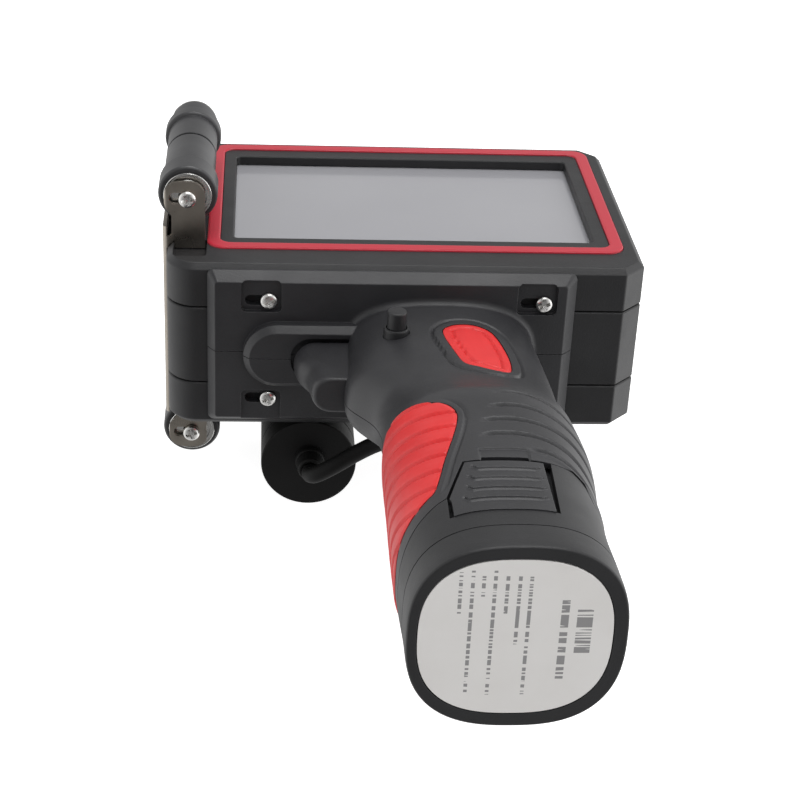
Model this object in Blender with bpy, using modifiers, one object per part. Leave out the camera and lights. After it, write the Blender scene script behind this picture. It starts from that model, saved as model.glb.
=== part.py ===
"""Handheld date code inkjet printer, modelled as an assembly of named sub-parts.

The body's own frame: x runs across the screen, away from the print side. y runs away
from the handle. z is zero on the screen side and negative into the body. The root
empty carries that frame to the object's own origin, centred and resting on z = 0.
Sizes are millimetres until they reach a mesh, and metres after that.
"""
import math

import bmesh
import bpy
from mathutils import Vector

MM = 0.001
GAP = 0.3                     # clearance between touching pieces

# Body: three stacked mouldings
BODY_LEFT = 0.6
BODY_WIDTH = 130.7            # right-hand side, counted from x = 0
BODY_DEPTH = 90.9
BODY_THICKNESS = 48.8
LEFT_RADIUS = 8.2
RIGHT_CHAMFER = 5.8
WALL = 2.2
UPPER_SPLIT = -12.64
LOWER_SPLIT = -35.43
MID_Z = -23.8                 # parting plane of the handle, and its axis
EDGE_BEVEL = 1.6
GROOVE_BEVEL = 0.35

# Screen: opening, red ring and what lies under them
SCREEN_X = (18.6, 118.5)
SCREEN_Y = (18.3, 78.8)
RING_X = (11.3, 126.2)
RING_Y = (10.6, 87.6)
RING_WIDTH = 3.6
RING_RADIUS = 5.0
RING_PROUD = 0.5
RING_DEPTH = 0.8
TOP_SKIN = 2.6
GLASS_SPAN = ((15.5, 14.5), (121.5, 82.6))
GLASS_THICK = 1.1
PANEL_SPAN = ((17.0, 16.0), (120.0, 81.0))
PANEL_THICK = 3.6
BOARD_SPAN = ((20.0, 20.0), (118.0, 78.0))
BOARD_THICK = 1.6
BOARD_DROP = 1.0              # air between the panel and the main board

# Handle: y station, left x, right x, and reach above and below the mid plane
HANDLE_STATIONS = (
    (-134.4, 57.1, 104.3, 22.9, 23.4),
    (-133.2, 56.9, 104.4, 23.1, 23.6),
    (-126.0, 56.8, 104.2, 22.8, 23.1),
    (-114.0, 56.3, 103.6, 22.6, 22.6),
    (-97.0, 56.1, 103.8, 22.2, 22.5),
    (-80.0, 56.2, 104.9, 22.0, 22.2),
    (-64.0, 56.2, 103.7, 21.5, 21.3),
    (-56.0, 56.5, 103.2, 19.0, 17.8),
    (-50.0, 56.3, 102.4, 17.2, 14.4),
    (-44.0, 54.6, 102.0, 15.8, 11.6),
    (-34.0, 48.3, 101.8, 14.8, 11.8),
    (-22.0, 48.4, 101.0, 14.6, 13.9),
    (-10.0, 48.7, 100.0, 14.8, 14.8),
    (1.5, 49.0, 99.0, 15.5, 15.5),
)
SECTION_POWER = 2.6
SECTION_POINTS = 40
HANDLE_TOP = -1.5
HANDLE_END = -134.4
HANDLE_RINGS = 30
HANDLE_WALL = 2.2

PLATE_X = (11.7, 111.3)
PLATE_Z = (-46.4, -1.0)
PLATE_BEVEL_LEFT = 2.1
PLATE_BEVEL_RIGHT = 2.9
PLATE_BEVEL_Z = 2.3
PLATE_FACE = -3.9
PLATE_EDGE = 0.8              # height of the plate's upright edge
BOSS_X = (21.4, 53.0)
BOSS_HALF = 9.2
BOSS_FACE = -8.2

# Plate screws sit at the corners of a rectangle centred on the mid plane
PLATE_SCREW_X = (28.2, 102.4)
PLATE_SCREW_Z = 14.8
PLATE_SCREW_RADIUS = 2.3
POCKET = (7.4, 3.4)           # pocket reach left and right of each screw
POCKET_REACH = (2.9, 6.1, 9.0)  # towards the mid plane, then away from it above and below
POCKET_FLOOR = -2.5
SLOT = (6.4, 1.6)             # adjusting slot, left and right of each screw
SLOT_HALF = 1.5
HOLE_RADIUS = 1.5             # clearance hole for every small screw

# Battery: a square pack of four cells, the stick plugging up into the handle
WELL_HALF_X = 20.5
WELL_HALF_Z = 20.2
WELL_POWER = 3.4
PACK_POWER = 4.0
WELL_TOP = -64.2
STICK_TOP = -64.5
CELL_RADIUS = 9.0
CELL_PITCH = 9.15
CELL_Y = (-131.4, -66.4)
CASE_WALL = 1.2
CAP_SPLIT = -125.4
BATTERY_X = 80.2
STICK_ROOF = 1.4              # wall over the cells, at the top of the stick
TERMINAL_X = (72.6, 88.0)
TERMINAL_Y = (-63.9, -59.8)
TERMINAL_HALF = 4.9
CONTACT_X = (73.6, 86.8)
CONTACT_HALF = 3.1
SEAM = (
    (40.0, -117.0), (57.0, -116.4), (60.6, -114.2), (64.3, -112.2), (66.5, -111.4),
    (71.1, -97.8), (96.0, -97.5), (98.6, -99.5), (100.2, -104.0), (103.0, -106.5),
    (120.0, -107.5),
)
LATCH = ((72.0, -98.7), (89.0, -98.7), (89.2, -119.4), (66.9, -119.4), (67.4, -112.0))
LATCH_SLOT = ((70.6, -90.0), (91.0, -90.0), (91.2, -119.7), (66.2, -119.7), (66.5, -111.6))
LATCH_THICK = 1.6
LABEL_HALF = (20.8, 19.8)

# Soft coloured parts let into the handle's skin
GRIP = (
    (44.0, -56.5), (57.0, -61.0), (60.0, -63.2), (63.0, -65.0), (67.0, -67.8),
    (70.3, -71.6), (71.7, -76.0), (70.7, -83.0), (67.4, -95.0), (64.6, -105.9),
    (62.5, -108.3), (58.4, -110.6), (44.0, -113.6),
)
INSERT = (
    (73.5, -20.5), (75.6, -16.8), (79.0, -15.7), (83.0, -16.2), (86.5, -19.3),
    (88.6, -26.7), (89.5, -35.0), (88.5, -43.0), (84.7, -42.9), (81.0, -40.8),
    (77.6, -38.3), (75.7, -31.5),
)
SKIN_PROUD = 0.4
GRIP_DEPTH = 0.6
INSERT_DEPTH = 0.9

# Trigger and push button
TRIGGER_OUTLINE = (
    (56.0, -7.2), (36.6, -7.2), (35.2, -9.5), (35.0, -12.5), (35.9, -16.5), (38.0, -20.5),
    (38.9, -24.0), (39.3, -27.5), (40.2, -30.2), (42.0, -31.5), (56.0, -31.5),
)
TRIGGER_HALF = 5.0
TRIGGER_FLANGE_X = (53.3, 55.3)
TRIGGER_FLANGE_HALF = 6.6
BUTTON_XY = (61.4, -19.0)
BUTTON_TOP = -3.6
BUTTON_FOOT = -13.4
BUTTON_RADIUS = 2.2
COLLAR_TOP = -8.0
COLLAR_RADIUS = 3.1
BUTTON_SWITCH = ((-2.2, -3.0, -4.6), (3.0, 3.0, -1.0))
TRIGGER_SWITCH = ((60.6, -29.0), (70.6, -9.0))
SWITCH_HALF = 3.2

# Print side: bent steel plate with four ears, and a roller between each pair
PRINT_PLATE_X = (-0.7, 0.3)
EAR_Y = (14.9, 76.0)
EAR_THICK = 1.0
EAR_X = (-0.2, 10.8)
EAR_TOP = 4.7                 # from the roller's axis to the ear's end
EAR_CORNER = 3.8
EAR_NECK = (1.75, 5.2, 1.4)   # neck's left side, its start past the axis, its end above the body
UPPER_AXIS = (6.1, 12.6)      # roller axes in x and z
LOWER_AXIS = (6.5, -59.7)
PLATE_RISE = 4.3              # how far the guide plate stands past the body's faces
ROLLER_SPAN = (17.8, 73.1)
TYRE_RADIUS = 7.0
TYRE_RING_RADIUS = 8.1
TYRE_BORE = 5.9
TYRE_EDGE = 0.6
TYRE_RINGS = (8.4, 13.0, 8.3)  # near ring's width, far ring's reach and the far plain end
CORE_RADII = (5.6, 4.4)
FLANGE_RADIUS = 6.5
FLANGE_THICK = 0.8
BEARING_RADII = (4.1, 2.3)
BEARING_DEPTH = 4.0
ROD_RADII = (2.0, 1.55)
EAR_SLOT = (-5.0, 1.8)        # slot's reach left and right of the axis
EAR_SLOT_HALF = 1.6
NOTCH_Y = ((5.4, 16.6), (74.3, 85.5))
NOTCH_RIGHT = 11.3
NOTCH_DEPTH = 2.2
EAR_FOOT = 1.9                # how far the ears reach below the body's faces

# Ink cartridge bay, open in the far wall
CARTRIDGE_X = (5.0, 79.8)
CARTRIDGE_Y = (18.0, 90.7)
CARTRIDGE_Z = (-38.6, -14.6)
BAY_MARGIN = 0.5
FINGER_GROOVE_X = (20.0, 65.0)
FINGER_GROOVE = (6.0, 3.0, 2.0)  # start and end from the far face, and depth
PRINT_WINDOW_Y = (40.0, 56.0)
PRINT_WINDOW_Z = (-29.5, -18.0)
NOZZLE_LOW = (4.4, 42.0, -29.0)
NOZZLE_HIGH = (4.7, 54.0, -20.5)
CONTACT_BOARD = ((0.8, 30.0, -36.0), (2.4, 70.0, -17.0))

# Rotary encoder hung under the body
ENCODER_X = 40.0
ENCODER_Z = -62.9
ENCODER_RADIUS = 13.5
ENCODER_Y = (3.0, 40.0)
SHAFT_RADIUS = 3.0
SHAFT_REACH = 14.0
SHAFT_DEPTH = 6.0
ENCODER_BOSS = (8.0, 1.6)     # radius, and how far it stands past the bracket
BRACKET_THICK = 1.6
BRACKET_HALF = 13.0
BRACKET_DROP = 12.5
BRACKET_FOOT = 20.0
BRACKET_SCREW = (8.0, 13.0)   # from the middle, and from the bracket's plate
CABLE_RADIUS = 2.4
CABLE_ROUTE = (
    (40.3, -4.2, -61.2), (40.3, -6.2, -61.1), (42.0, -9.0, -59.3), (46.4, -9.9, -56.2),
    (52.2, -9.4, -52.6), (58.4, -9.6, -49.0), (64.0, -11.4, -46.4), (68.2, -14.6, -45.0),
    (70.1, -16.6, -43.9), (70.3, -16.8, -42.6),
)
CABLE_POINTS = 40
GLAND_XY = (70.3, -16.8)
GLAND_SPAN = (-35.0, -42.0)
GLAND_RADII = (2.9, 2.0)
CABLE_BORE = 2.7

# Row frame: where the centre of the whole object's base lies in the body's frame
ORIGIN = (64.35, -21.75, -76.4)

COLLECTION_NAME = "date_code_inkjet_printer"


def clear_scene():
    for obj in list(bpy.data.objects):
        bpy.data.objects.remove(obj, do_unlink=True)


def new_collection(name):
    collection = bpy.data.collections.new(name)
    bpy.context.scene.collection.children.link(collection)
    return collection


clear_scene()
PARTS = new_collection(COLLECTION_NAME)
CUTTERS = new_collection("cutters")
ROOT = bpy.data.objects.new("frame_root", None)
ROOT.location = -Vector(ORIGIN) * MM
PARTS.objects.link(ROOT)


def material(name, color, roughness, metallic=0.0):
    mat = bpy.data.materials.new(name)
    mat.use_nodes = True
    shader = mat.node_tree.nodes["Principled BSDF"]
    shader.inputs["Base Color"].default_value = (*color, 1.0)
    shader.inputs["Roughness"].default_value = roughness
    shader.inputs["Metallic"].default_value = metallic
    mat.diffuse_color = (*color, 1.0)
    return mat


def add_object(name, mesh, origin, color=None):
    """Link a mesh as a part, or as a cutter when it has no colour."""
    obj = bpy.data.objects.new(name, mesh)
    obj.location = Vector(origin) * MM
    obj.parent = ROOT
    if color is None:
        CUTTERS.objects.link(obj)
        obj.hide_render = True
        obj.display_type = "WIRE"
    else:
        PARTS.objects.link(obj)
        mesh.materials.append(material(name, *color))
    return obj


def from_bmesh(bm, name, color=None, origin=(0.0, 0.0, 0.0)):
    """Turn a bmesh drawn in millimetres into an object with its origin at a point."""
    bmesh.ops.translate(bm, verts=bm.verts, vec=-Vector(origin))
    bmesh.ops.scale(bm, verts=bm.verts, vec=(MM, MM, MM))
    bmesh.ops.recalc_face_normals(bm, faces=bm.faces)
    mesh = bpy.data.meshes.new(name)
    bm.to_mesh(mesh)
    bm.free()
    return add_object(name, mesh, origin, color)


def block(name, low, high, color=None, bevel=0.0):
    bm = bmesh.new()
    bmesh.ops.create_cube(bm, size=1.0)
    size = Vector(high) - Vector(low)
    centre = (Vector(high) + Vector(low)) / 2
    bmesh.ops.scale(bm, verts=bm.verts, vec=size)
    bmesh.ops.translate(bm, verts=bm.verts, vec=centre)
    obj = from_bmesh(bm, name, color)
    if bevel:
        soften(obj, bevel)
    return obj


def sheet(name, span, top, thickness, color):
    """A flat slab given by its plan's two corners, its top and its thickness."""
    return block(name, (*span[0], top - thickness), (*span[1], top), color)


def soften(obj, width, segments=2):
    mod = obj.modifiers.new("Bevel", "BEVEL")
    mod.width = width * MM
    mod.segments = segments
    mod.limit_method = "ANGLE"
    mod.angle_limit = math.radians(40)


def loft(rings, name, color=None):
    """Join rings of equally many points, in order, into one capped body."""
    bm = bmesh.new()
    loops = [[bm.verts.new(point) for point in ring] for ring in rings]
    for one, two in zip(loops, loops[1:]):
        for i in range(len(one)):
            j = (i + 1) % len(one)
            bm.faces.new((one[i], one[j], two[j], two[i]))
    bm.faces.new(loops[0])
    bm.faces.new(loops[-1])
    return from_bmesh(bm, name, color)


def prism(outline, low, high, name, color=None, origin=(0.0, 0.0, 0.0)):
    """Extrude an outline in x and y from one height to another."""
    bm = bmesh.new()
    face = bm.faces.new([bm.verts.new((x, y, low)) for x, y in outline])
    grown = bmesh.ops.extrude_face_region(bm, geom=[face])
    moved = [item for item in grown["geom"] if isinstance(item, bmesh.types.BMVert)]
    bmesh.ops.translate(bm, verts=moved, vec=(0.0, 0.0, high - low))
    return from_bmesh(bm, name, color, origin)


def turned(profile, origin, name, color=None, direction=(0.0, 1.0, 0.0), steps=32):
    """Spin a (radius, height) profile, listed from its top, about a direction."""
    mesh = bpy.data.meshes.new(name)
    points = [Vector((radius, 0.0, height)) * MM for radius, height in profile]
    edges = [(i, i + 1) for i in range(len(points) - 1)]
    if profile[0][0] > 0.0:
        edges.append((len(points) - 1, 0))
    mesh.from_pydata(points, edges, [])
    obj = add_object(name, mesh, origin, color)
    obj.rotation_euler = Vector((0.0, 0.0, 1.0)).rotation_difference(Vector(direction)).to_euler()
    mod = obj.modifiers.new("Screw", "SCREW")
    mod.steps = steps
    mod.render_steps = steps
    mod.use_merge_vertices = True
    mod.merge_threshold = 0.00001
    mod.use_normal_calculate = False
    mod.use_smooth_shade = False
    return obj


def bore_cutter(name, origin, radius, span, direction=(0.0, 1.0, 0.0), steps=24):
    """A plain cylinder to cut with, between two heights along a direction."""
    high, low = span
    profile = ((0.0, high), (radius, high), (radius, low), (0.0, low))
    return turned(profile, origin, name, direction=direction, steps=steps)


def boolean(obj, tool, operation="DIFFERENCE"):
    mod = obj.modifiers.new(operation.title(), "BOOLEAN")
    mod.operation = operation
    mod.solver = "EXACT"
    mod.object = tool
    return obj


def arc(centre, radius, start, end, steps=5):
    angles = [math.radians(start + (end - start) * i / steps) for i in range(steps + 1)]
    return [(centre[0] + radius * math.cos(a), centre[1] + radius * math.sin(a)) for a in angles]


def rounded_rectangle(span_x, span_y, radius, steps=5):
    left, right = span_x
    near, far = span_y
    points = arc((left + radius, near + radius), radius, 180, 270, steps)
    points += arc((right - radius, near + radius), radius, 270, 360, steps)
    points += arc((right - radius, far - radius), radius, 0, 90, steps)
    points += arc((left + radius, far - radius), radius, 90, 180, steps)
    return points


def body_outline(inset):
    """The body's plan, rounded on the print side and chamfered on the other."""
    left, right = BODY_LEFT + inset, BODY_WIDTH - inset
    near, far = inset, BODY_DEPTH - inset
    radius = LEFT_RADIUS - inset
    cut = RIGHT_CHAMFER - inset * (2.0 - math.sqrt(2.0))
    points = arc((left + radius, near + radius), radius, 180, 270)
    points += [(right - cut, near), (right, near + cut), (right, far - cut), (right - cut, far)]
    points += arc((left + radius, far - radius), radius, 90, 180)
    return points


def body_layer(levels, name, color=None):
    """Stack body outlines: each level is a height and how far its edge is set in."""
    return loft([[(x, y, z) for x, y in body_outline(inset)] for z, inset in levels], name, color)


def offset_line(points, distance):
    """Move an open line sideways, to its left for a positive distance."""
    moved = []
    for i, point in enumerate(points):
        before = Vector(points[max(i - 1, 0)])
        after = Vector(points[min(i + 1, len(points) - 1)])
        here = Vector(point)
        normals = []
        for a, b in ((before, here), (here, after)):
            step = b - a
            if step.length > 0.0:
                normals.append(Vector((-step.y, step.x)).normalized())
        middle = sum(normals, Vector((0.0, 0.0))).normalized()
        moved.append(here + middle * distance / max(middle.dot(normals[0]), 0.3))
    return [(p.x, p.y) for p in moved]


def handle_size(y):
    """Left x, right x and reach above and below the mid plane at y, by cubic interpolation."""
    rows = HANDLE_STATIONS
    y = min(max(y, rows[0][0]), rows[-1][0])
    k = max(i for i in range(len(rows) - 1) if rows[i][0] <= y)
    one, two = rows[k], rows[k + 1]
    before, after = rows[max(k - 1, 0)], rows[min(k + 2, len(rows) - 1)]
    span = two[0] - one[0]
    t = (y - one[0]) / span
    values = []
    for c in (1, 2, 3, 4):
        slope_one = (two[c] - before[c]) / (two[0] - before[0]) * span
        slope_two = (after[c] - one[c]) / (after[0] - one[0]) * span
        rise = two[c] - one[c]
        cubic = (slope_one + slope_two - 2.0 * rise) * t + 3.0 * rise - 2.0 * slope_one - slope_two
        values.append(one[c] + t * (slope_one + t * cubic))
    return values


def section(y, centre_x, half_x, halves_z, power, count=SECTION_POINTS):
    """A rounded-square ring in the plane of x and z, its reach above and below given apart."""
    above, below = halves_z
    ring = []
    for i in range(count):
        c = math.cos(2.0 * math.pi * (i + 0.5) / count)
        s = math.sin(2.0 * math.pi * (i + 0.5) / count)
        x = centre_x + half_x * math.copysign(abs(c) ** (2.0 / power), c)
        z = MID_Z + (above if s > 0.0 else -below) * abs(s) ** (2.0 / power)
        ring.append((x, y, z))
    return ring


def handle_ring(y, grow):
    left, right, above, below = handle_size(y)
    halves_z = (above + grow, below + grow)
    return section(y, (left + right) / 2, (right - left) / 2 + grow, halves_z, SECTION_POWER)


def handle_loft(name, top, end, grow=0.0, rings=HANDLE_RINGS, color=None):
    """The handle's outer form between two stations, grown by a thickness."""
    levels = [top + (end - top) * i / (rings - 1) for i in range(rings)]
    return loft([handle_ring(y, grow) for y in levels], name, color)


def stick_loft(name, top, end, inset, power=WELL_POWER):
    """The straight square stick of the battery between two stations."""
    half_x, half_z = WELL_HALF_X - inset, WELL_HALF_Z - inset
    return loft([section(y, BATTERY_X, half_x, (half_z, half_z), power, 36) for y in (top, end)],
                name)


BLACK = ((0.018, 0.018, 0.02), 0.55)
SOFT_BLACK = ((0.02, 0.02, 0.022), 0.7)
RUBBER = ((0.012, 0.012, 0.013), 0.8)
RED = ((0.62, 0.035, 0.045), 0.5)
STEEL = ((0.62, 0.6, 0.57), 0.32, 1.0)
BRIGHT = ((0.78, 0.77, 0.75), 0.25, 1.0)
GLASS = ((0.33, 0.33, 0.36), 0.12)
BOARD = ((0.02, 0.16, 0.06), 0.5)
LABEL = ((0.78, 0.76, 0.75), 0.6)
CELL = ((0.1, 0.32, 0.5), 0.4)
BRASS = ((0.75, 0.6, 0.35), 0.3, 1.0)
CORE = ((0.7, 0.7, 0.72), 0.35, 1.0)
SWITCH = ((0.05, 0.05, 0.06), 0.45)


# ---------------------------------------------------------------- body shells

def make_screen_side():
    """Top moulding with its screen opening, the ring, the glass and the panel."""
    shell = body_layer(((UPPER_SPLIT + GAP / 2, GROOVE_BEVEL),
                        (UPPER_SPLIT + GAP / 2 + GROOVE_BEVEL, 0.0),
                        (-EDGE_BEVEL, 0.0), (0.0, EDGE_BEVEL)), "screen_bezel_shell", BLACK)
    boolean(shell, body_layer(((UPPER_SPLIT - 1.0, WALL), (-TOP_SKIN, WALL)), "cut_top_hollow"))
    opening = rounded_rectangle(SCREEN_X, SCREEN_Y, 1.0, 2)
    boolean(shell, prism(opening, -5.0, 2.0, "cut_screen_opening"))
    ring_low, ring_high = -RING_DEPTH, RING_PROUD
    outer = rounded_rectangle(RING_X, RING_Y, RING_RADIUS)
    inner_x = (RING_X[0] + RING_WIDTH, RING_X[1] - RING_WIDTH)
    inner_y = (RING_Y[0] + RING_WIDTH, RING_Y[1] - RING_WIDTH)
    inner = rounded_rectangle(inner_x, inner_y, RING_RADIUS - RING_WIDTH / 2)
    ring = prism(outer, ring_low, ring_high, "red_trim_ring", RED)
    boolean(ring, prism(inner, ring_low - 1.0, ring_high + 1.0, "cut_ring_inner"))
    groove_x = (RING_X[0] - GAP, RING_X[1] + GAP)
    groove_y = (RING_Y[0] - GAP, RING_Y[1] + GAP)
    groove = prism(rounded_rectangle(groove_x, groove_y, RING_RADIUS + GAP),
                   ring_low - GAP, 2.0, "cut_ring_groove")
    island_x = (inner_x[0] + GAP, inner_x[1] - GAP)
    island_y = (inner_y[0] + GAP, inner_y[1] - GAP)
    boolean(groove, prism(rounded_rectangle(island_x, island_y, RING_RADIUS - RING_WIDTH / 2),
                          ring_low - 3.0, 4.0, "cut_groove_island"))
    boolean(shell, groove)
    for low, high in NOTCH_Y:
        boolean(shell, block("cut_top_notch_%d" % low, (-5.0, low, -NOTCH_DEPTH),
                             (NOTCH_RIGHT, high, 5.0)))
    glass_top = -TOP_SKIN - GAP
    panel_top = glass_top - GLASS_THICK - GAP
    board_top = panel_top - PANEL_THICK - BOARD_DROP
    sheet("touch_glass", GLASS_SPAN, glass_top, GLASS_THICK, GLASS)
    sheet("lcd_module", PANEL_SPAN, panel_top, PANEL_THICK, BRIGHT)
    sheet("main_board", BOARD_SPAN, board_top, BOARD_THICK, BOARD)
    return shell


def make_middle():
    shell = body_layer(((LOWER_SPLIT + GAP / 2, GROOVE_BEVEL),
                        (LOWER_SPLIT + GAP / 2 + GROOVE_BEVEL, 0.0),
                        (UPPER_SPLIT - GAP / 2 - GROOVE_BEVEL, 0.0),
                        (UPPER_SPLIT - GAP / 2, GROOVE_BEVEL)), "middle_housing", BLACK)
    boolean(shell, body_layer(((LOWER_SPLIT - 2.0, WALL), (UPPER_SPLIT + 2.0, WALL)),
                              "cut_middle_hollow"))
    boolean(shell, block("cut_nozzle_window", (-3.0, PRINT_WINDOW_Y[0] - 2.0, PRINT_WINDOW_Z[0] - 2.0),
                         (4.0, PRINT_WINDOW_Y[1] + 2.0, PRINT_WINDOW_Z[1] + 1.0)))
    boolean(shell, bore_cutter("cut_cable_pass", (78.0, 1.0, MID_Z), 5.0, (4.0, -3.0), steps=20))
    return shell


def make_bottom():
    low = -BODY_THICKNESS
    shell = body_layer(((low, EDGE_BEVEL), (low + EDGE_BEVEL, 0.0),
                        (LOWER_SPLIT - GAP / 2 - GROOVE_BEVEL, 0.0),
                        (LOWER_SPLIT - GAP / 2, GROOVE_BEVEL)), "bottom_housing", BLACK)
    boolean(shell, body_layer(((low + WALL, WALL), (LOWER_SPLIT + 1.0, WALL)), "cut_bottom_hollow"))
    for near, far in NOTCH_Y:
        boolean(shell, block("cut_bottom_notch_%d" % near, (-5.0, near, low - 5.0),
                             (NOTCH_RIGHT, far, low + NOTCH_DEPTH)))
    return shell


def make_cartridge(middle, bottom):
    """The cartridge and the bay that is open in the far wall, to pull it out by."""
    far = CARTRIDGE_Y[1]
    bay = block("cut_cartridge_bay",
                (NOZZLE_LOW[0] - GAP, BODY_DEPTH - WALL - 5.0, CARTRIDGE_Z[0] - BAY_MARGIN),
                (CARTRIDGE_X[1] + BAY_MARGIN, BODY_DEPTH + 2.0, UPPER_SPLIT + 0.6))
    boolean(middle, bay)
    boolean(bottom, bay)
    body = block("ink_cartridge", (CARTRIDGE_X[0], CARTRIDGE_Y[0], CARTRIDGE_Z[0]),
                 (CARTRIDGE_X[1], CARTRIDGE_Y[1], CARTRIDGE_Z[1]), SOFT_BLACK)
    start, end, depth = FINGER_GROOVE
    groove = block("cut_cartridge_finger", (FINGER_GROOVE_X[0], far - start, CARTRIDGE_Z[1] - depth),
                   (FINGER_GROOVE_X[1], far - end, CARTRIDGE_Z[1] + 1.0))
    boolean(body, groove)
    block("nozzle_plate", NOZZLE_LOW, NOZZLE_HIGH, BRASS)
    low, high = CONTACT_BOARD
    block("cartridge_contact_board", (CARTRIDGE_X[1] + low[0], *low[1:]),
          (CARTRIDGE_X[1] + high[0], *high[1:]), BOARD)


# ------------------------------------------------------------------ print side

def ear_profile(axis, face, inward):
    """Ear outline in x and z: a round-cornered head past the axis, a neck and the bend."""
    (left, right), r = EAR_X, EAR_CORNER
    neck, neck_top, neck_end = EAR_NECK
    foot = abs(face - axis[1]) + EAR_FOOT
    bend = abs(face - axis[1]) - neck_end
    shift = axis[0] - UPPER_AXIS[0]
    points = [(right, foot)]
    points += [(x, -z) for x, z in arc((right - r, EAR_TOP - r), r, 0, 90, 6)]
    points += [(x, -z) for x, z in arc((left + r, EAR_TOP - r), r, 90, 180, 6)]
    points += [(x, 1.2 - z) for x, z in arc((left + r, 0.0), r, 180, 230, 4)]
    points += [(neck, neck_top), (neck, bend)]
    points = [(x + shift, away) for x, away in points]
    points += [(PRINT_PLATE_X[0], bend), (PRINT_PLATE_X[0], foot)]
    return [(x, axis[1] + inward * away) for x, away in points]


def make_print_plate():
    """One bent sheet: a flat guide plate with an ear turned in at each corner."""
    left, right = PRINT_PLATE_X
    plate = block("print_guide_plate", (left, EAR_Y[0], -BODY_THICKNESS - PLATE_RISE),
                  (right, EAR_Y[1], PLATE_RISE), STEEL)
    boolean(plate, block("cut_plate_window", (left - 2.0, PRINT_WINDOW_Y[0], PRINT_WINDOW_Z[0]),
                         (right + 2.0, PRINT_WINDOW_Y[1], PRINT_WINDOW_Z[1])))
    for side, axis, face, inward in (("top", UPPER_AXIS, 0.0, -1.0),
                                     ("bottom", LOWER_AXIS, -BODY_THICKNESS, 1.0)):
        for end, y in (("near", EAR_Y[0]), ("far", EAR_Y[1] - EAR_THICK)):
            outline = ear_profile(axis, face, inward)
            front = [(x, y, z) for x, z in outline]
            back = [(x, y + EAR_THICK, z) for x, z in outline]
            boolean(plate, loft((front, back), "add_ear_%s_%s" % (side, end)), "UNION")
        slot = block("cut_ear_slots_%s" % side,
                     (axis[0] + EAR_SLOT[0], EAR_Y[0] - 2.0, axis[1] - EAR_SLOT_HALF),
                     (axis[0] + EAR_SLOT[1], EAR_Y[1] + 2.0, axis[1] + EAR_SLOT_HALF))
        boolean(plate, slot)


def cross_recess(name, origin, direction, reach, depth):
    """A plus-shaped cutter for the head of a cross-recessed screw."""
    arm = reach * 0.24
    plus = []
    for turn in range(4):
        c, s = (1, 0, -1, 0)[turn], (0, 1, 0, -1)[turn]
        for x, y in ((reach, -arm), (reach, arm), (arm, arm)):
            plus.append((x * c - y * s, x * s + y * c))
    cutter = prism(plus, -depth, 1.0, name)
    cutter.location = Vector(origin) * MM
    cutter.rotation_euler = Vector((0, 0, 1)).rotation_difference(Vector(direction)).to_euler()
    return cutter


def pan_screw(name, seat, direction, head_radius=2.1, head_height=1.5, shank=(1.2, 6.0)):
    """A pan-head screw whose head rests at seat and points along direction."""
    radius, length = shank
    profile = ((0.0, head_height), (head_radius * 0.62, head_height),
               (head_radius * 0.93, head_height * 0.68), (head_radius, head_height * 0.3),
               (head_radius, 0.0), (radius, 0.0), (radius, -length), (0.0, -length))
    screw = turned(profile, seat, name, BRIGHT, direction, steps=14)
    top = Vector(seat) + Vector(direction) * head_height
    boolean(screw, cross_recess("cut_" + name, top, direction, head_radius * 0.6, 0.7))
    return screw


def tyre_profile(near, far):
    """A rubber sleeve with a raised ring near each end and a fine groove in the middle."""
    edge = TYRE_EDGE
    plain, proud = TYRE_RADIUS, TYRE_RING_RADIUS
    ring_near, ring_far, end_far = TYRE_RINGS
    middle = (near + far) / 2
    return ((plain - edge, far), (plain, far - edge),
            (plain, far - end_far), (proud, far - end_far - edge),
            (proud, far - ring_far), (plain, far - ring_far - edge),
            (plain, middle + 0.5), (plain - 0.4, middle + 0.2),
            (plain - 0.4, middle - 0.2), (plain, middle - 0.5),
            (plain, near + ring_near + edge), (proud, near + ring_near),
            (proud, near + edge), (proud - edge, near),
            (TYRE_BORE, near), (TYRE_BORE, far))


def make_roller(label, place):
    """A rubber-covered roller on two flanged bearings, its rod screwed to the ears."""
    near, far = ROLLER_SPAN
    axis = (place[0], 0.0, place[1])
    turned(tyre_profile(near, far), axis, label + "_roller_tyre", RUBBER, steps=36)
    core = ((CORE_RADII[0], far), (CORE_RADII[0], near), (CORE_RADII[1], near), (CORE_RADII[1], far))
    turned(core, axis, label + "_roller_core", CORE, steps=28)
    outer, bore = BEARING_RADII
    for end, face, inward in (("near", near - GAP, 1.0), ("far", far + GAP, -1.0)):
        bearing = [(FLANGE_RADIUS, face - inward * FLANGE_THICK), (FLANGE_RADIUS, face),
                   (outer, face), (outer, face + inward * BEARING_DEPTH),
                   (bore, face + inward * BEARING_DEPTH), (bore, face - inward * FLANGE_THICK)]
        if inward > 0:
            bearing.reverse()
        turned(bearing, axis, "%s_roller_bearing_%s" % (label, end), BRIGHT, steps=28)
    rod_near, rod_far = EAR_Y[0] + EAR_THICK + GAP, EAR_Y[1] - EAR_THICK - GAP
    rod = ((ROD_RADII[0], rod_far), (ROD_RADII[0], rod_near), (ROD_RADII[1], rod_near),
           (ROD_RADII[1], rod_far))
    turned(rod, axis, label + "_roller_rod", STEEL, steps=20)
    for end, y, outward in (("near", EAR_Y[0] - GAP, -1.0), ("far", EAR_Y[1] + GAP, 1.0)):
        pan_screw("%s_rod_screw_%s" % (label, end), (place[0], y, place[1]), (0.0, outward, 0.0),
                  head_radius=2.35, shank=(1.2, 7.0))


# ---------------------------------------------------------------------- handle

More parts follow.
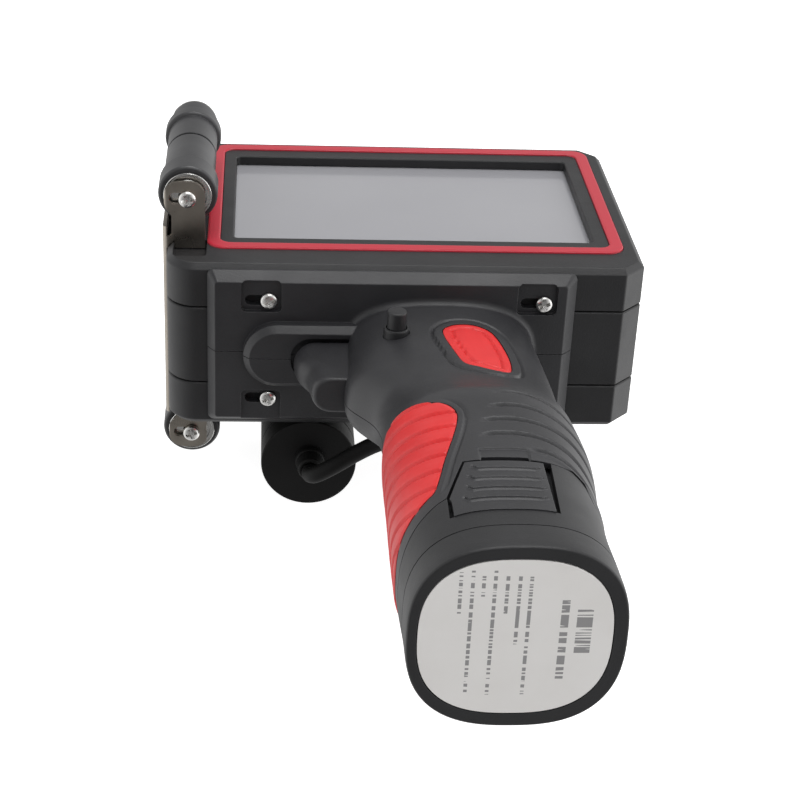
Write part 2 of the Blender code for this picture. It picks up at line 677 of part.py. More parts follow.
def skin_cutter(name, outline, depth, side=0):
    """What to remove from the handle's skin, inside an outline, down to a depth."""
    reach = 40.0
    low = MID_Z if side > 0 else MID_Z - reach
    high = MID_Z if side < 0 else MID_Z + reach
    cutter = prism(outline, low, high, name)
    core = handle_loft(name + "_core", 0.0, -133.0, -depth, 34)
    return boolean(cutter, core)


def skin_piece(name, outline, proud, depth, color, side=0):
    """A piece let into the handle's skin, inside an outline."""
    reach = 40.0
    low = MID_Z if side > 0 else MID_Z - reach
    high = MID_Z if side < 0 else MID_Z + reach
    piece = prism(outline, low, high, name, color)
    boolean(piece, handle_loft("keep_" + name, 0.0, -133.0, proud, 34), "INTERSECT")
    boolean(piece, handle_loft("core_" + name, 0.5, -133.5, -depth, 34))
    return piece


def grown(outline, distance):
    """An outline moved outwards, for the clearance round a let-in piece."""
    closed = [outline[-1]] + list(outline) + [outline[0]]
    area = sum(a[0] * b[1] - b[0] * a[1] for a, b in zip(closed[1:], closed[2:]))
    sign = -1.0 if area > 0.0 else 1.0
    return offset_line(closed, sign * distance)[1:-1]


def plate_form():
    """The raised mounting plate: a low slab with sloping sides."""
    rings = []
    for y, share in ((-GAP, 0.0), (-PLATE_EDGE, 0.0), (PLATE_FACE, 1.0)):
        left = PLATE_X[0] + share * PLATE_BEVEL_LEFT
        right = PLATE_X[1] - share * PLATE_BEVEL_RIGHT
        low = PLATE_Z[0] + share * PLATE_BEVEL_Z
        high = PLATE_Z[1] - share * PLATE_BEVEL_Z
        rings.append([(x, y, z) for x, z in ((left, low), (right, low), (right, high), (left, high))])
    return loft(rings, "add_plate")


def boss_form():
    """The round-ended block beside the head, in front of the trigger."""
    rings = []
    for y, inset in ((HANDLE_TOP, 0.0), (BOSS_FACE + 1.2, 0.0), (BOSS_FACE, 1.2)):
        radius = BOSS_HALF - inset
        centre = (BOSS_X[0] + BOSS_HALF, MID_Z)
        points = arc(centre, radius, 90, 270, 10)
        points += [(BOSS_X[1], MID_Z - radius), (BOSS_X[1], MID_Z + radius)]
        rings.append([(x, y, z) for x, z in points])
    return loft(rings, "add_boss")


def screw_places():
    for x in PLATE_SCREW_X:
        for side in (1.0, -1.0):
            yield x, MID_Z + side * PLATE_SCREW_Z, side


def handle_tools():
    """The forms that both halves share, as pairs of an operation and a tool."""
    tools = [("UNION", plate_form()), ("UNION", boss_form())]
    tools.append(("DIFFERENCE", handle_loft("cut_neck", 1.0, -59.5, -HANDLE_WALL, 14)))
    tools.append(("DIFFERENCE", stick_loft("cut_well", WELL_TOP, HANDLE_END - 8.0, 0.0)))
    below = offset_line(SEAM, GAP / 2) + [(120.0, -150.0), (40.0, -150.0)]
    tools.append(("DIFFERENCE", prism(below, -70.0, 30.0, "cut_below_seam")))
    tools.append(("DIFFERENCE", skin_cutter("cut_grip", grown(GRIP, GAP), GRIP_DEPTH + GAP)))
    slot_low = (34.4, TRIGGER_OUTLINE[-1][1] - GAP, MID_Z - TRIGGER_HALF - GAP)
    slot_high = (58.0, TRIGGER_OUTLINE[0][1] + GAP, MID_Z + TRIGGER_HALF + GAP)
    tools.append(("DIFFERENCE", block("cut_trigger_slot", slot_low, slot_high)))
    half = TERMINAL_HALF + GAP
    tools.append(("DIFFERENCE", block("cut_terminal_slot", (TERMINAL_X[0] - GAP, -66.0, MID_Z - half),
                                      (TERMINAL_X[1] + GAP, -58.0, MID_Z + half))))
    return tools


def make_handle(shells):
    tools = handle_tools()
    pockets = {1.0: [], -1.0: []}
    for x, z, side in screw_places():
        tag = "%d_%s" % (x, "upper" if side > 0 else "lower")
        inward, above, below = POCKET_REACH
        low, high = (z - inward, z + above) if side > 0 else (z - below, z + inward)
        pocket = block("cut_pocket_" + tag, (x - POCKET[0], -8.0, low),
                       (x + POCKET[1], POCKET_FLOOR, high))
        slot = block("cut_slot_" + tag, (x - SLOT[0], -3.0, z - SLOT_HALF),
                     (x + SLOT[1], 1.0, z + SLOT_HALF))
        pockets[side] += [pocket, slot]
        hole = bore_cutter("cut_wall_hole_" + tag, (x, 1.0, z), HOLE_RADIUS, (4.0, -4.0), steps=16)
        boolean(shells[0] if side > 0 else shells[1], hole)
        pan_screw("plate_screw_" + tag, (x, POCKET_FLOOR - GAP / 2, z), (0.0, -1.0, 0.0),
                  head_radius=PLATE_SCREW_RADIUS)
    for label, side in (("upper", 1.0), ("lower", -1.0)):
        half = handle_loft("handle_half_" + label, HANDLE_TOP, HANDLE_END, color=SOFT_BLACK)
        for operation, tool in tools:
            boolean(half, tool, operation)
        for tool in pockets[side]:
            boolean(half, tool)
        recess = skin_cutter("cut_insert_" + label, grown(INSERT, GAP), INSERT_DEPTH + GAP, side)
        boolean(half, recess)
        bottom = MID_Z + GAP / 2 if side > 0 else -90.0
        top = 40.0 if side > 0 else MID_Z - GAP / 2
        boolean(half, block("keep_" + label, (0.0, -150.0, bottom), (140.0, 10.0, top)),
                "INTERSECT")
        skin_piece("head_insert_" + label, INSERT, SKIN_PROUD, INSERT_DEPTH, RED, side)
        if side > 0:
            boolean(half, button_hole())
        else:
            boolean(half, gland_hole())
    skin_piece("front_grip", GRIP, SKIN_PROUD, GRIP_DEPTH, RED)


def button_hole():
    return bore_cutter("cut_button_hole", (*BUTTON_XY, 0.0), COLLAR_RADIUS + GAP, (-6.0, -16.0),
                       (0, 0, 1))


def gland_hole():
    return bore_cutter("cut_gland_hole", (*GLAND_XY, 0.0), GLAND_RADII[0] + 0.4, (-34.0, -42.0),
                       (0, 0, 1))


def make_controls():
    trigger = prism(TRIGGER_OUTLINE, MID_Z - TRIGGER_HALF, MID_Z + TRIGGER_HALF, "trigger",
                    SOFT_BLACK, origin=(56.0, -19.0, MID_Z))
    flange = block("add_trigger_flange",
                   (TRIGGER_FLANGE_X[0], -29.0, MID_Z - TRIGGER_FLANGE_HALF),
                   (TRIGGER_FLANGE_X[1], -9.5, MID_Z + TRIGGER_FLANGE_HALF))
    boolean(trigger, flange, "UNION")
    block("trigger_switch", (*TRIGGER_SWITCH[0], MID_Z - SWITCH_HALF),
          (*TRIGGER_SWITCH[1], MID_Z + SWITCH_HALF), SWITCH, bevel=0.4)
    cap = ((0.0, BUTTON_TOP), (BUTTON_RADIUS - 0.4, BUTTON_TOP), (BUTTON_RADIUS, BUTTON_TOP - 0.4),
           (BUTTON_RADIUS, BUTTON_FOOT), (0.0, BUTTON_FOOT))
    turned(cap, (*BUTTON_XY, 0.0), "power_button_cap", BLACK, (0, 0, 1), 24)
    bore = BUTTON_RADIUS + 0.25
    collar = ((bore, COLLAR_TOP), (COLLAR_RADIUS - 0.3, COLLAR_TOP),
              (COLLAR_RADIUS, COLLAR_TOP - 0.3), (COLLAR_RADIUS, BUTTON_FOOT), (bore, BUTTON_FOOT))
    turned(collar, (*BUTTON_XY, 0.0), "power_button_collar", BLACK, (0, 0, 1), 24)
    place = Vector((*BUTTON_XY, BUTTON_FOOT))
    low, high = (place + Vector(corner) for corner in BUTTON_SWITCH)
    block("power_button_switch", low, high, SWITCH, bevel=0.3)
    block("handle_terminals", (TERMINAL_X[0], TERMINAL_Y[0], MID_Z - TERMINAL_HALF),
          (TERMINAL_X[1], TERMINAL_Y[1], MID_Z + TERMINAL_HALF), BLACK, bevel=0.4)


# --------------------------------------------------------------------- battery

def make_battery():
    """Sleeve with its stick, base cap, label, cells, terminals and two latches."""
    case = handle_loft("battery_case", -94.0, CAP_SPLIT + GAP / 2, rings=12, color=BLACK)
    above = offset_line(SEAM, -GAP / 2) + [(120.0, -60.0), (40.0, -60.0)]
    boolean(case, prism(above, -70.0, 30.0, "cut_above_seam"))
    boolean(case, stick_loft("add_stick", STICK_TOP, CAP_SPLIT + 6.0, GAP), "UNION")
    boolean(case, stick_loft("cut_pack", STICK_TOP - STICK_ROOF, CAP_SPLIT - 6.0,
                             GAP + CASE_WALL, PACK_POWER))
    half = CONTACT_HALF + GAP
    boolean(case, block("cut_pack_slot", (CONTACT_X[0] - GAP, STICK_TOP - 3.0, MID_Z - half),
                        (CONTACT_X[1] + GAP, STICK_TOP + 2.0, MID_Z + half)))
    cap = handle_loft("battery_base_cap", CAP_SPLIT - GAP / 2, HANDLE_END, rings=8, color=BLACK)
    boolean(cap, stick_loft("cut_cap", CAP_SPLIT + 2.0, CELL_Y[0] - GAP, GAP + CASE_WALL,
                            PACK_POWER))
    recess = label_ring(HANDLE_END - 1.0, GAP), label_ring(HANDLE_END + 0.7, GAP)
    boolean(cap, loft(recess, "cut_label_recess"))
    loft((label_ring(HANDLE_END, 0.0), label_ring(HANDLE_END + 0.4, 0.0)), "battery_label", LABEL)
    for i, (dx, dz) in enumerate(((-1, -1), (-1, 1), (1, -1), (1, 1))):
        centre = (BATTERY_X + dx * CELL_PITCH, 0.0, MID_Z + dz * CELL_PITCH)
        cell = ((0.0, CELL_Y[1]), (CELL_RADIUS, CELL_Y[1]), (CELL_RADIUS, CELL_Y[0]),
                (0.0, CELL_Y[0]))
        turned(cell, centre, "battery_cell_%d" % (i + 1), CELL, steps=24)
    block("battery_terminals", (CONTACT_X[0], STICK_TOP - 1.5, MID_Z - CONTACT_HALF),
          (CONTACT_X[1], STICK_TOP - 0.1, MID_Z + CONTACT_HALF), BRIGHT)
    for label, side in (("upper", 1), ("lower", -1)):
        skin_piece("battery_latch_" + label, LATCH, GAP, LATCH_THICK, SOFT_BLACK, side)
        low = MID_Z + 12.0 if side > 0 else MID_Z - 40.0
        high = MID_Z + 40.0 if side > 0 else MID_Z - 12.0
        boolean(case, prism(LATCH_SLOT, low, high, "cut_latch_" + label))


def label_ring(y, grow):
    half_x, half_z = LABEL_HALF[0] + grow, LABEL_HALF[1] + grow
    return section(y, BATTERY_X, half_x, (half_z, half_z), SECTION_POWER)


# --------------------------------------------------------------------- encoder

def make_encoder(bottom):
    """Encoder, its shaft, and its cable's glands at the encoder and in the handle."""
    axis = (ENCODER_X, 0.0, ENCODER_Z)
    near, far = ENCODER_Y
    boss_radius, boss_height = ENCODER_BOSS
    boss_end = far + BRACKET_THICK + GAP + boss_height
    bore = SHAFT_RADIUS + 0.08
    body = ((0.0, far - SHAFT_DEPTH), (bore, far - SHAFT_DEPTH), (bore, boss_end),
            (boss_radius, boss_end), (boss_radius, far), (ENCODER_RADIUS, far),
            (ENCODER_RADIUS, near + 0.8), (ENCODER_RADIUS - 0.8, near), (0.0, near))
    turned(body, axis, "encoder_body", RUBBER, steps=36)
    shaft_end = boss_end + SHAFT_REACH
    shaft_foot = far - SHAFT_DEPTH + GAP
    shaft = ((0.0, shaft_end), (SHAFT_RADIUS - 0.5, shaft_end), (SHAFT_RADIUS, shaft_end - 0.5),
             (SHAFT_RADIUS, shaft_foot), (0.0, shaft_foot))
    turned(shaft, axis, "encoder_shaft", STEEL, steps=24)
    make_bracket(bottom, axis, boss_radius + GAP)
    gland = ((4.2, near - 5.0), (3.3, near - 6.8), (CABLE_BORE, near - 6.8),
             (CABLE_BORE, near - GAP), (4.2, near - GAP))
    turned(gland, (CABLE_ROUTE[0][0], 0.0, CABLE_ROUTE[0][2]), "encoder_gland", RUBBER,
           steps=24)
    high, low = GLAND_SPAN
    outer, inner = GLAND_RADII
    turned(((outer, high), (outer, low), (inner, low), (inner, high)), (*GLAND_XY, 0.0),
           "handle_gland", RUBBER, (0, 0, 1), 24)


def make_bracket(bottom, axis, bore):
    """The angle bracket behind the encoder, with a foot screwed to the back moulding."""
    near = ENCODER_Y[1] + GAP
    top = -BODY_THICKNESS - GAP
    left, right = ENCODER_X - BRACKET_HALF, ENCODER_X + BRACKET_HALF
    bracket = block("encoder_bracket", (left, near, ENCODER_Z - BRACKET_DROP),
                    (right, near + BRACKET_THICK, top), STEEL)
    foot = block("add_bracket_foot", (left, near, top - BRACKET_THICK),
                 (right, near + BRACKET_FOOT, top))
    boolean(bracket, foot, "UNION")
    boolean(bracket, bore_cutter("cut_bracket_bore", axis, bore, (60.0, 30.0), steps=32))
    aside, back = BRACKET_SCREW
    for label, x in (("left", ENCODER_X - aside), ("right", ENCODER_X + aside)):
        seat = (x, near + back, top - BRACKET_THICK - GAP / 2)
        drill = bore_cutter("cut_bracket_hole_" + label, seat, HOLE_RADIUS, (10.0, -4.0),
                            (0, 0, 1), 16)
        boolean(bracket, drill)
        boolean(bottom, drill)
        pan_screw("bracket_screw_" + label, seat, (0.0, 0.0, -1.0))


def smooth_route(points, count):
    """Evenly numbered points on a smooth curve through the route points."""
    last = len(points) - 1
    route = []
    for i in range(count):
        s = last * i / (count - 1)
        k = min(int(s), last - 1)
        t = s - k
        p = [Vector(points[min(max(k + j, 0), last)]) for j in (-1, 0, 1, 2)]
        route.append(0.5 * (2.0 * p[1] + (p[2] - p[0]) * t
                            + (2.0 * p[0] - 5.0 * p[1] + 4.0 * p[2] - p[3]) * t * t
                            + (3.0 * p[1] - p[0] - 3.0 * p[2] + p[3]) * t ** 3))
    return route


def make_cable():
    curve = bpy.data.curves.new("encoder_cable", "CURVE")
    curve.dimensions = "3D"
    curve.bevel_depth = CABLE_RADIUS * MM
    curve.bevel_resolution = 2
    curve.use_fill_caps = True
    spline = curve.splines.new("POLY")
    route = smooth_route(CABLE_ROUTE, CABLE_POINTS)
    spline.points.add(len(route) - 1)
    for point, place in zip(spline.points, route):
        point.co = (*(place * MM), 1.0)
    cable = bpy.data.objects.new("encoder_cable", curve)
    cable.parent = ROOT
    PARTS.objects.link(cable)
    curve.materials.append(material("encoder_cable", *RUBBER))


def shade_round_parts():
    """Smooth the turned and lofted parts, keeping their sharp edges."""
    for obj in PARTS.objects:
        if obj.type == "MESH":
            obj.data.shade_smooth()
            obj.data.set_sharp_from_angle(angle=math.radians(35))


def main():
    top = make_screen_side()
    middle = make_middle()
    bottom = make_bottom()
    make_cartridge(middle, bottom)
    make_print_plate()
    make_roller("upper", UPPER_AXIS)
    make_roller("lower", LOWER_AXIS)
    make_handle((top, bottom))
    make_controls()
    make_battery()
    make_encoder(bottom)
    make_cable()
    shade_round_parts()


main()
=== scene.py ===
"""Looks of the handheld date code inkjet printer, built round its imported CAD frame.

Shapes are drawn in millimetres in the printer body's own frame: x runs across the
screen, y away from the handle, and z is zero on the screen side and negative below it.
to_row() carries them to the frame that the CAD nodes are in.
"""

import math

import bmesh
import bpy
import numpy as np
from mathutils import Matrix, Vector


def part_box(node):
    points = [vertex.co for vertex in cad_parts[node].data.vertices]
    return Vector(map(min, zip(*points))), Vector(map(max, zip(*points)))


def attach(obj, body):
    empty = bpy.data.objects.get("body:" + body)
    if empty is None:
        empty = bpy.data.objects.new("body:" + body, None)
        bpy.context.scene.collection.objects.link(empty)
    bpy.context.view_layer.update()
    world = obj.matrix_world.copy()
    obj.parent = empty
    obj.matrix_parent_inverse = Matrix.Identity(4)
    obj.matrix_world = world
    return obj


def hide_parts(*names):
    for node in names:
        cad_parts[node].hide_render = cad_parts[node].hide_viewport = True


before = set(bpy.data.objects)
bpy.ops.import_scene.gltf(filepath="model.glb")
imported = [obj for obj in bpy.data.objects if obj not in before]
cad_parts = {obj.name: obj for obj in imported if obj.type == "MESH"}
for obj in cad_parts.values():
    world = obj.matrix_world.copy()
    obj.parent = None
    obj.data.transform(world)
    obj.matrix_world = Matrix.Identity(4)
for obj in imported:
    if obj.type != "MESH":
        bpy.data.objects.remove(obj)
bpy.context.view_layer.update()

MM = 0.001
GAP = 0.3
SHELL_LOW, SHELL_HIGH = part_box("screen_bezel_shell")
BODY_LEFT = 0.6
BASE = Vector((SHELL_LOW.x - BODY_LEFT * MM, SHELL_LOW.y, SHELL_HIGH.z))      # the body frame's zero
WIDTH = round((SHELL_HIGH.x - BASE.x) / MM, 2)
DEPTH = round((SHELL_HIGH.y - SHELL_LOW.y) / MM, 2)
THICK = 48.8
MID_Z = -23.8
TO_ROW = Matrix.Translation(BASE) @ Matrix.Scale(MM, 4)
SCENE = bpy.context.scene


# ------------------------------------------------------------ camera and studio

# How bright the world is towards the positive and the negative end of each axis
WORLD_LIGHT = {"X": (3.0, 1.85), "Y": (0.8, 0.08), "Z": (0.05, 1.0)}

def make_camera():
    data = bpy.data.cameras.new("camera")
    data.lens = 83.31
    data.sensor_width = 36.0
    data.clip_start = 0.01
    data.clip_end = 20.0
    cam = bpy.data.objects.new("camera", data)
    turn = (Matrix.Rotation(math.radians(-4.97), 3, "Z")
            @ Matrix.Rotation(math.radians(-28.72), 3, "X")
            @ Matrix.Rotation(math.radians(-2.88), 3, "Y"))
    right, ahead, up = turn.col
    axes = Matrix((right, up, -ahead)).transposed().to_4x4()
    cam.matrix_world = Matrix.Translation(TO_ROW @ Vector((25.77, -450.1, 207.06))) @ axes
    SCENE.collection.objects.link(cam)
    SCENE.camera = cam


def area_light(name, place, target, size, power, color=(1.0, 1.0, 1.0)):
    data = bpy.data.lights.new(name, "AREA")
    data.shape = "RECTANGLE"
    data.size, data.size_y = size
    data.energy = power
    data.color = color
    light = bpy.data.objects.new(name, data)
    light.location = place
    aim = Vector(target) - Vector(place)
    light.rotation_euler = aim.to_track_quat("-Z", "Y").to_euler()
    SCENE.collection.objects.link(light)


def make_world():
    """Soft light from all round, strongest from the right and the left."""
    world = bpy.data.worlds.new("studio")
    SCENE.world = world
    world.use_nodes = True
    tree = world.node_tree
    tree.nodes.clear()
    coords = tree.nodes.new("ShaderNodeTexCoord")
    apart = tree.nodes.new("ShaderNodeSeparateXYZ")
    tree.links.new(coords.outputs["Generated"], apart.inputs[0])
    background = tree.nodes.new("ShaderNodeBackground")
    total = background.inputs["Strength"]
    for axis, levels in WORLD_LIGHT.items():
        for sign, level in zip((1.0, -1.0), levels):
            lobe = []
            for operation, value in (("MULTIPLY", sign), ("MAXIMUM", 0.0), ("POWER", 2.0),
                                     ("MULTIPLY", level)):
                node = tree.nodes.new("ShaderNodeMath")
                node.operation = operation
                node.inputs[1].default_value = value
                source = lobe[-1].outputs[0] if lobe else apart.outputs[axis]
                tree.links.new(source, node.inputs[0])
                lobe.append(node)
            add = tree.nodes.new("ShaderNodeMath")
            add.operation = "ADD"
            add.inputs[1].default_value = 0.0
            tree.links.new(lobe[-1].outputs[0], add.inputs[0])
            tree.links.new(add.outputs[0], total)
            total = add.inputs[1]
    out = tree.nodes.new("ShaderNodeOutputWorld")
    tree.links.new(background.outputs[0], out.inputs[0])


def make_floor():
    """A pale seamless floor that curves up behind the object."""
    profile = [(-6.0, 0.0), (1.2, 0.0)]
    profile += [(1.2 + 1.0 * math.sin(a), 1.0 - 1.0 * math.cos(a))
                for a in (math.radians(step * 7.5) for step in range(1, 13))]
    profile.append((2.2, 8.0))
    verts, faces = [], []
    for y, z in profile:
        verts += [(-8.0, y, z - 0.0004), (8.0, y, z - 0.0004)]
    for i in range(len(profile) - 1):
        faces.append((2 * i, 2 * i + 1, 2 * i + 3, 2 * i + 2))
    mesh = bpy.data.meshes.new("floor")
    mesh.from_pydata(verts, [], faces)
    mesh.shade_smooth()
    floor = bpy.data.objects.new("floor", mesh)
    SCENE.collection.objects.link(floor)
    mat = bpy.data.materials.new("studio_floor")
    mat.use_nodes = True
    shader = mat.node_tree.nodes["Principled BSDF"]
    shader.inputs["Base Color"].default_value = (0.7, 0.7, 0.7, 1.0)
    shader.inputs["Roughness"].default_value = 0.9
    shader.inputs["Specular IOR Level"].default_value = 0.1
    shader.inputs["Emission Color"].default_value = (1.0, 1.0, 1.0, 1.0)
    shader.inputs["Emission Strength"].default_value = 0.9
    mesh.materials.append(mat)
    floor.visible_glossy = False
    floor.visible_diffuse = False


make_camera()
make_world()
make_floor()
SCENE.view_settings.view_transform = "Standard"
area_light("key_overhead", (0.1, 0.1, 1.2), (0.0, 0.0, 0.05), (0.9, 0.8), 9.4)
area_light("key_front", (0.1, -0.8, 1.0), (0.0, 0.0, 0.04), (0.8, 0.4), 3.0)
area_light("fill_front", (-0.5, -1.2, 0.5), (0.0, 0.0, 0.04), (0.9, 0.7), 0.5)
area_light("side_right", (1.1, 0.25, 0.3), (0.05, 0.0, 0.05), (0.8, 0.8), 0.3)



# -------------------------------------------------------------------- materials

class Nodes:
    """A short way to write a material's node tree."""

    def __init__(self, name):
        self.mat = bpy.data.materials.new(name)
        self.mat.use_nodes = True
        self.tree = self.mat.node_tree
        self.shader = self.tree.nodes["Principled BSDF"]
        self.coords = self.add("ShaderNodeTexCoord").outputs["Object"]

    def add(self, kind, **values):
        node = self.tree.nodes.new(kind)
        for key, value in values.items():
            setattr(node, key, value)
        return node

    def plug(self, value, socket):
        if isinstance(value, bpy.types.NodeSocket):
            self.tree.links.new(value, socket)
        elif value is not None:
            socket.default_value = value

    def noise(self, scale, detail=3.0, rough=0.5, coords=None):
        """Noise with about scale features to the metre."""
        node = self.add("ShaderNodeTexNoise")
        self.plug(self.coords if coords is None else coords, node.inputs["Vector"])
        node.inputs["Scale"].default_value = scale
        node.inputs["Detail"].default_value = detail
        node.inputs["Roughness"].default_value = rough
        return node.outputs["Fac"]

    def stretch(self, scale, turn=(0.0, 0.0, 0.0)):
        node = self.add("ShaderNodeMapping")
        self.plug(self.coords, node.inputs["Vector"])
        node.inputs["Scale"].default_value = scale
        node.inputs["Rotation"].default_value = turn
        return node.outputs[0]

    def remap(self, value, low, high, start=0.0, end=1.0):
        node = self.add("ShaderNodeMapRange")
        self.plug(value, node.inputs["Value"])
        for key, number in (("From Min", start), ("From Max", end), ("To Min", low), ("To Max", high)):
            node.inputs[key].default_value = number
        return node.outputs[0]

    def math(self, operation, a, b=0.0, c=0.0):
        node = self.add("ShaderNodeMath", operation=operation)
        for value, socket in zip((a, b, c), node.inputs):
            self.plug(value, socket)
        return node.outputs[0]

    def mix(self, share, a, b):
        node = self.add("ShaderNodeMix", data_type="RGBA")
        self.plug(share, node.inputs["Factor"])
        self.plug(a, node.inputs["A"])
        self.plug(b, node.inputs["B"])
        return node.outputs["Result"]

    def edges(self, radius):
        """Zero on flat places, rising on edges sharper than the radius."""
        bevel = self.add("ShaderNodeBevel", samples=4)
        bevel.inputs["Radius"].default_value = radius
        normal = self.add("ShaderNodeNewGeometry").outputs["Normal"]
        dot = self.add("ShaderNodeVectorMath", operation="DOT_PRODUCT")
        self.plug(bevel.outputs[0], dot.inputs[0])
        self.plug(normal, dot.inputs[1])
        return self.remap(dot.outputs["Value"], 1.0, 0.0, 0.75, 0.99)

    def bump(self, height, distance, strength=1.0, normal=None):
        node = self.add("ShaderNodeBump")
        node.inputs["Distance"].default_value = distance
        node.inputs["Strength"].default_value = strength
        self.plug(height, node.inputs["Height"])
        if normal is not None:
            self.plug(normal, node.inputs["Normal"])
        return node.outputs[0]

    def finish(self, **inputs):
        for key, value in inputs.items():
            self.plug(value, self.shader.inputs[key.replace("_", " ")])
        return self.mat


def rgba(r, g, b):
    return (r, g, b, 1.0)


def moulded(name, dark, light, rough, grain=2600.0, depth=0.00004, edge=0.6,
            edge_highlight_share=0.5, specular=0.4, soft=0.00022, vary=1.0):
    """Moulded plastic: spark-eroded grain, faint mottling, and a painted highlight that lightens the colour along
    sharp edges.
    """
    n = Nodes(name)
    mottle = n.remap(n.noise(45.0, 4.0, 0.6), 0.0, 1.0, 0.3, 0.7)
    color = n.mix(mottle, dark, light)
    # Painted highlight: the colour is lightened along sharp edges, broken up by noise, where light would catch them.
    painted_edge_highlight = n.math("MULTIPLY", n.edges(0.0004), n.remap(n.noise(160.0, 3.0), 0.3, edge, 0.3, 0.7))
    color = n.mix(n.math("MULTIPLY", painted_edge_highlight, edge_highlight_share), color, rgba(*(min(1.0, 2.4 * c + 0.02) for c in light[:3])))
    fine = n.noise(grain, 2.0, 0.6)
    finish = n.remap(n.noise(70.0, 5.0, 0.6), rough - 0.06 * vary, rough + 0.07 * vary, 0.25, 0.75)
    normal = None
    if soft:
        edge_normal = n.add("ShaderNodeBevel", samples=4)
        edge_normal.inputs["Radius"].default_value = soft
        normal = edge_normal.outputs[0]
    normal = n.bump(fine, depth, 1.0, normal)
    return n.finish(Base_Color=color, Roughness=finish, Normal=normal, Specular_IOR_Level=specular)


def brushed(name, color, rough, direction, scratch=0.00001):
    """Rolled or machined metal with fine lines along one direction, dull smudges, and a painted highlight along its
    edges.
    """
    n = Nodes(name)
    scale = [1600.0 if i != direction else 35.0 for i in range(3)]
    lines = n.noise(1.0, 3.0, 0.6, n.stretch(scale))
    smudge = n.noise(60.0, 4.0, 0.6)
    darker = rgba(*(0.72 * c for c in color[:3]))
    tone = n.mix(n.remap(smudge, 0.0, 1.0, 0.3, 0.75), darker, color)
    # Painted highlight: the tone is lightened along sharp edges, where light would catch them.
    rim = n.math("MULTIPLY", n.edges(0.0003), 0.45)
    tone = n.mix(rim, tone, rgba(*(min(1.0, 1.3 * c) for c in color[:3])))
    finish = n.math("ADD", n.remap(smudge, rough - 0.08, rough + 0.12, 0.3, 0.7),
                    n.remap(lines, -0.05, 0.05))
    return n.finish(Base_Color=tone, Metallic=1.0, Roughness=finish, Normal=n.bump(lines, scratch))


BLACK = moulded("case_black", rgba(0.0125, 0.0125, 0.0135), rgba(0.019, 0.019, 0.0205), 0.46)
GRIP_BLACK = moulded("handle_black", rgba(0.015, 0.015, 0.017), rgba(0.024, 0.024, 0.0265), 0.44,
                     grain=2000.0, depth=0.00004, specular=0.5)
RUBBER = moulded("black_rubber", rgba(0.003, 0.003, 0.003), rgba(0.006, 0.006, 0.006), 0.6,
                 grain=1500.0, depth=0.00003, specular=0.2)
TYRE = moulded("roller_rubber", rgba(0.02, 0.02, 0.0215), rgba(0.032, 0.032, 0.034), 0.42,
               grain=1500.0, depth=0.000015, specular=0.6)
RED = moulded("soft_red", rgba(0.56, 0.016, 0.018), rgba(0.68, 0.028, 0.028), 0.42, grain=1800.0,
              depth=0.00003, edge=0.2)
RED_TRIM = moulded("trim_red", rgba(0.44, 0.013, 0.03), rgba(0.455, 0.015, 0.034), 0.34, grain=1200.0,
                   depth=0.000002, edge_highlight_share=0.0, specular=0.5, soft=0.0, vary=0.15)
STEEL = brushed("nickel_steel", rgba(0.43, 0.39, 0.34), 0.28, 2, 0.000004)
BRIGHT = brushed("bright_steel", rgba(0.8, 0.79, 0.77), 0.22, 1)
BRASS = brushed("nozzle_brass", rgba(0.75, 0.58, 0.32), 0.28, 1)


def glass_material():
    """The switched-off display: an even grey sheet under clear glass, its grey a painted reflection of a bright
    ceiling.
    """
    n = Nodes("display_glass")
    # Painted reflection: the even grey base colour stands in for a bright ceiling mirrored in the glass.
    tone = n.mix(n.remap(n.noise(18.0, 2.0), 0.0, 1.0, 0.3, 0.7), rgba(0.285, 0.285, 0.303), rgba(0.305, 0.305, 0.322))
    haze = n.remap(n.noise(55.0, 5.0, 0.6), 0.16, 0.24, 0.3, 0.7)
    return n.finish(Base_Color=tone, Roughness=haze, Specular_IOR_Level=0.4,
                    Coat_Weight=0.4, Coat_Roughness=0.08)


def board_material():
    n = Nodes("circuit_board")
    tracks = n.math("GREATER_THAN", n.noise(420.0, 0.0, 0.5, n.stretch((1.0, 3.0, 1.0))), 0.56)
    tone = n.mix(tracks, rgba(0.01, 0.1, 0.035), rgba(0.02, 0.19, 0.06))
    return n.finish(Base_Color=tone, Roughness=0.4, Normal=n.bump(tracks, 0.00004))


GLASS = glass_material()
BOARD = board_material()
CELL = moulded("cell_wrap", rgba(0.03, 0.16, 0.3), rgba(0.04, 0.2, 0.36), 0.3, edge=0.2)


def label_material():
    """Pale paper with rows of broken grey bars where a battery label has its small print."""
    n = Nodes("label_paper")
    paper = n.mix(n.remap(n.noise(45.0, 4.0, 0.6), 0.0, 1.0, 0.3, 0.7),
                  rgba(0.75, 0.73, 0.71), rgba(0.8, 0.785, 0.77))
    place = n.add("ShaderNodeSeparateXYZ")
    n.plug(n.coords, place.inputs[0])
    total = 0.0
    for x, half_x, z, half_z in LABEL_BARS:
        centre = TO_ROW @ Vector((x, 0.0, z))
        inside = [n.math("LESS_THAN", n.math("ABSOLUTE", n.math("SUBTRACT", place.outputs[axis], middle)),
                         half * MM)
                  for axis, middle, half in ((0, centre.x, half_x), (2, centre.z, half_z))]
        total = n.math("ADD", total, n.math("MULTIPLY", *inside))
    broken = n.math("GREATER_THAN", n.noise(1.0, 0.0, 0.5, n.stretch((60.0, 60.0, 1700.0))), 0.44)
    ink = n.math("MULTIPLY", n.math("MULTIPLY", total, broken), 0.72)
    return n.finish(Base_Color=n.mix(ink, paper, rgba(0.09, 0.09, 0.1)), Roughness=0.42,
                    Normal=n.bump(n.noise(1800.0, 2.0), 0.000008), Specular_IOR_Level=0.4)


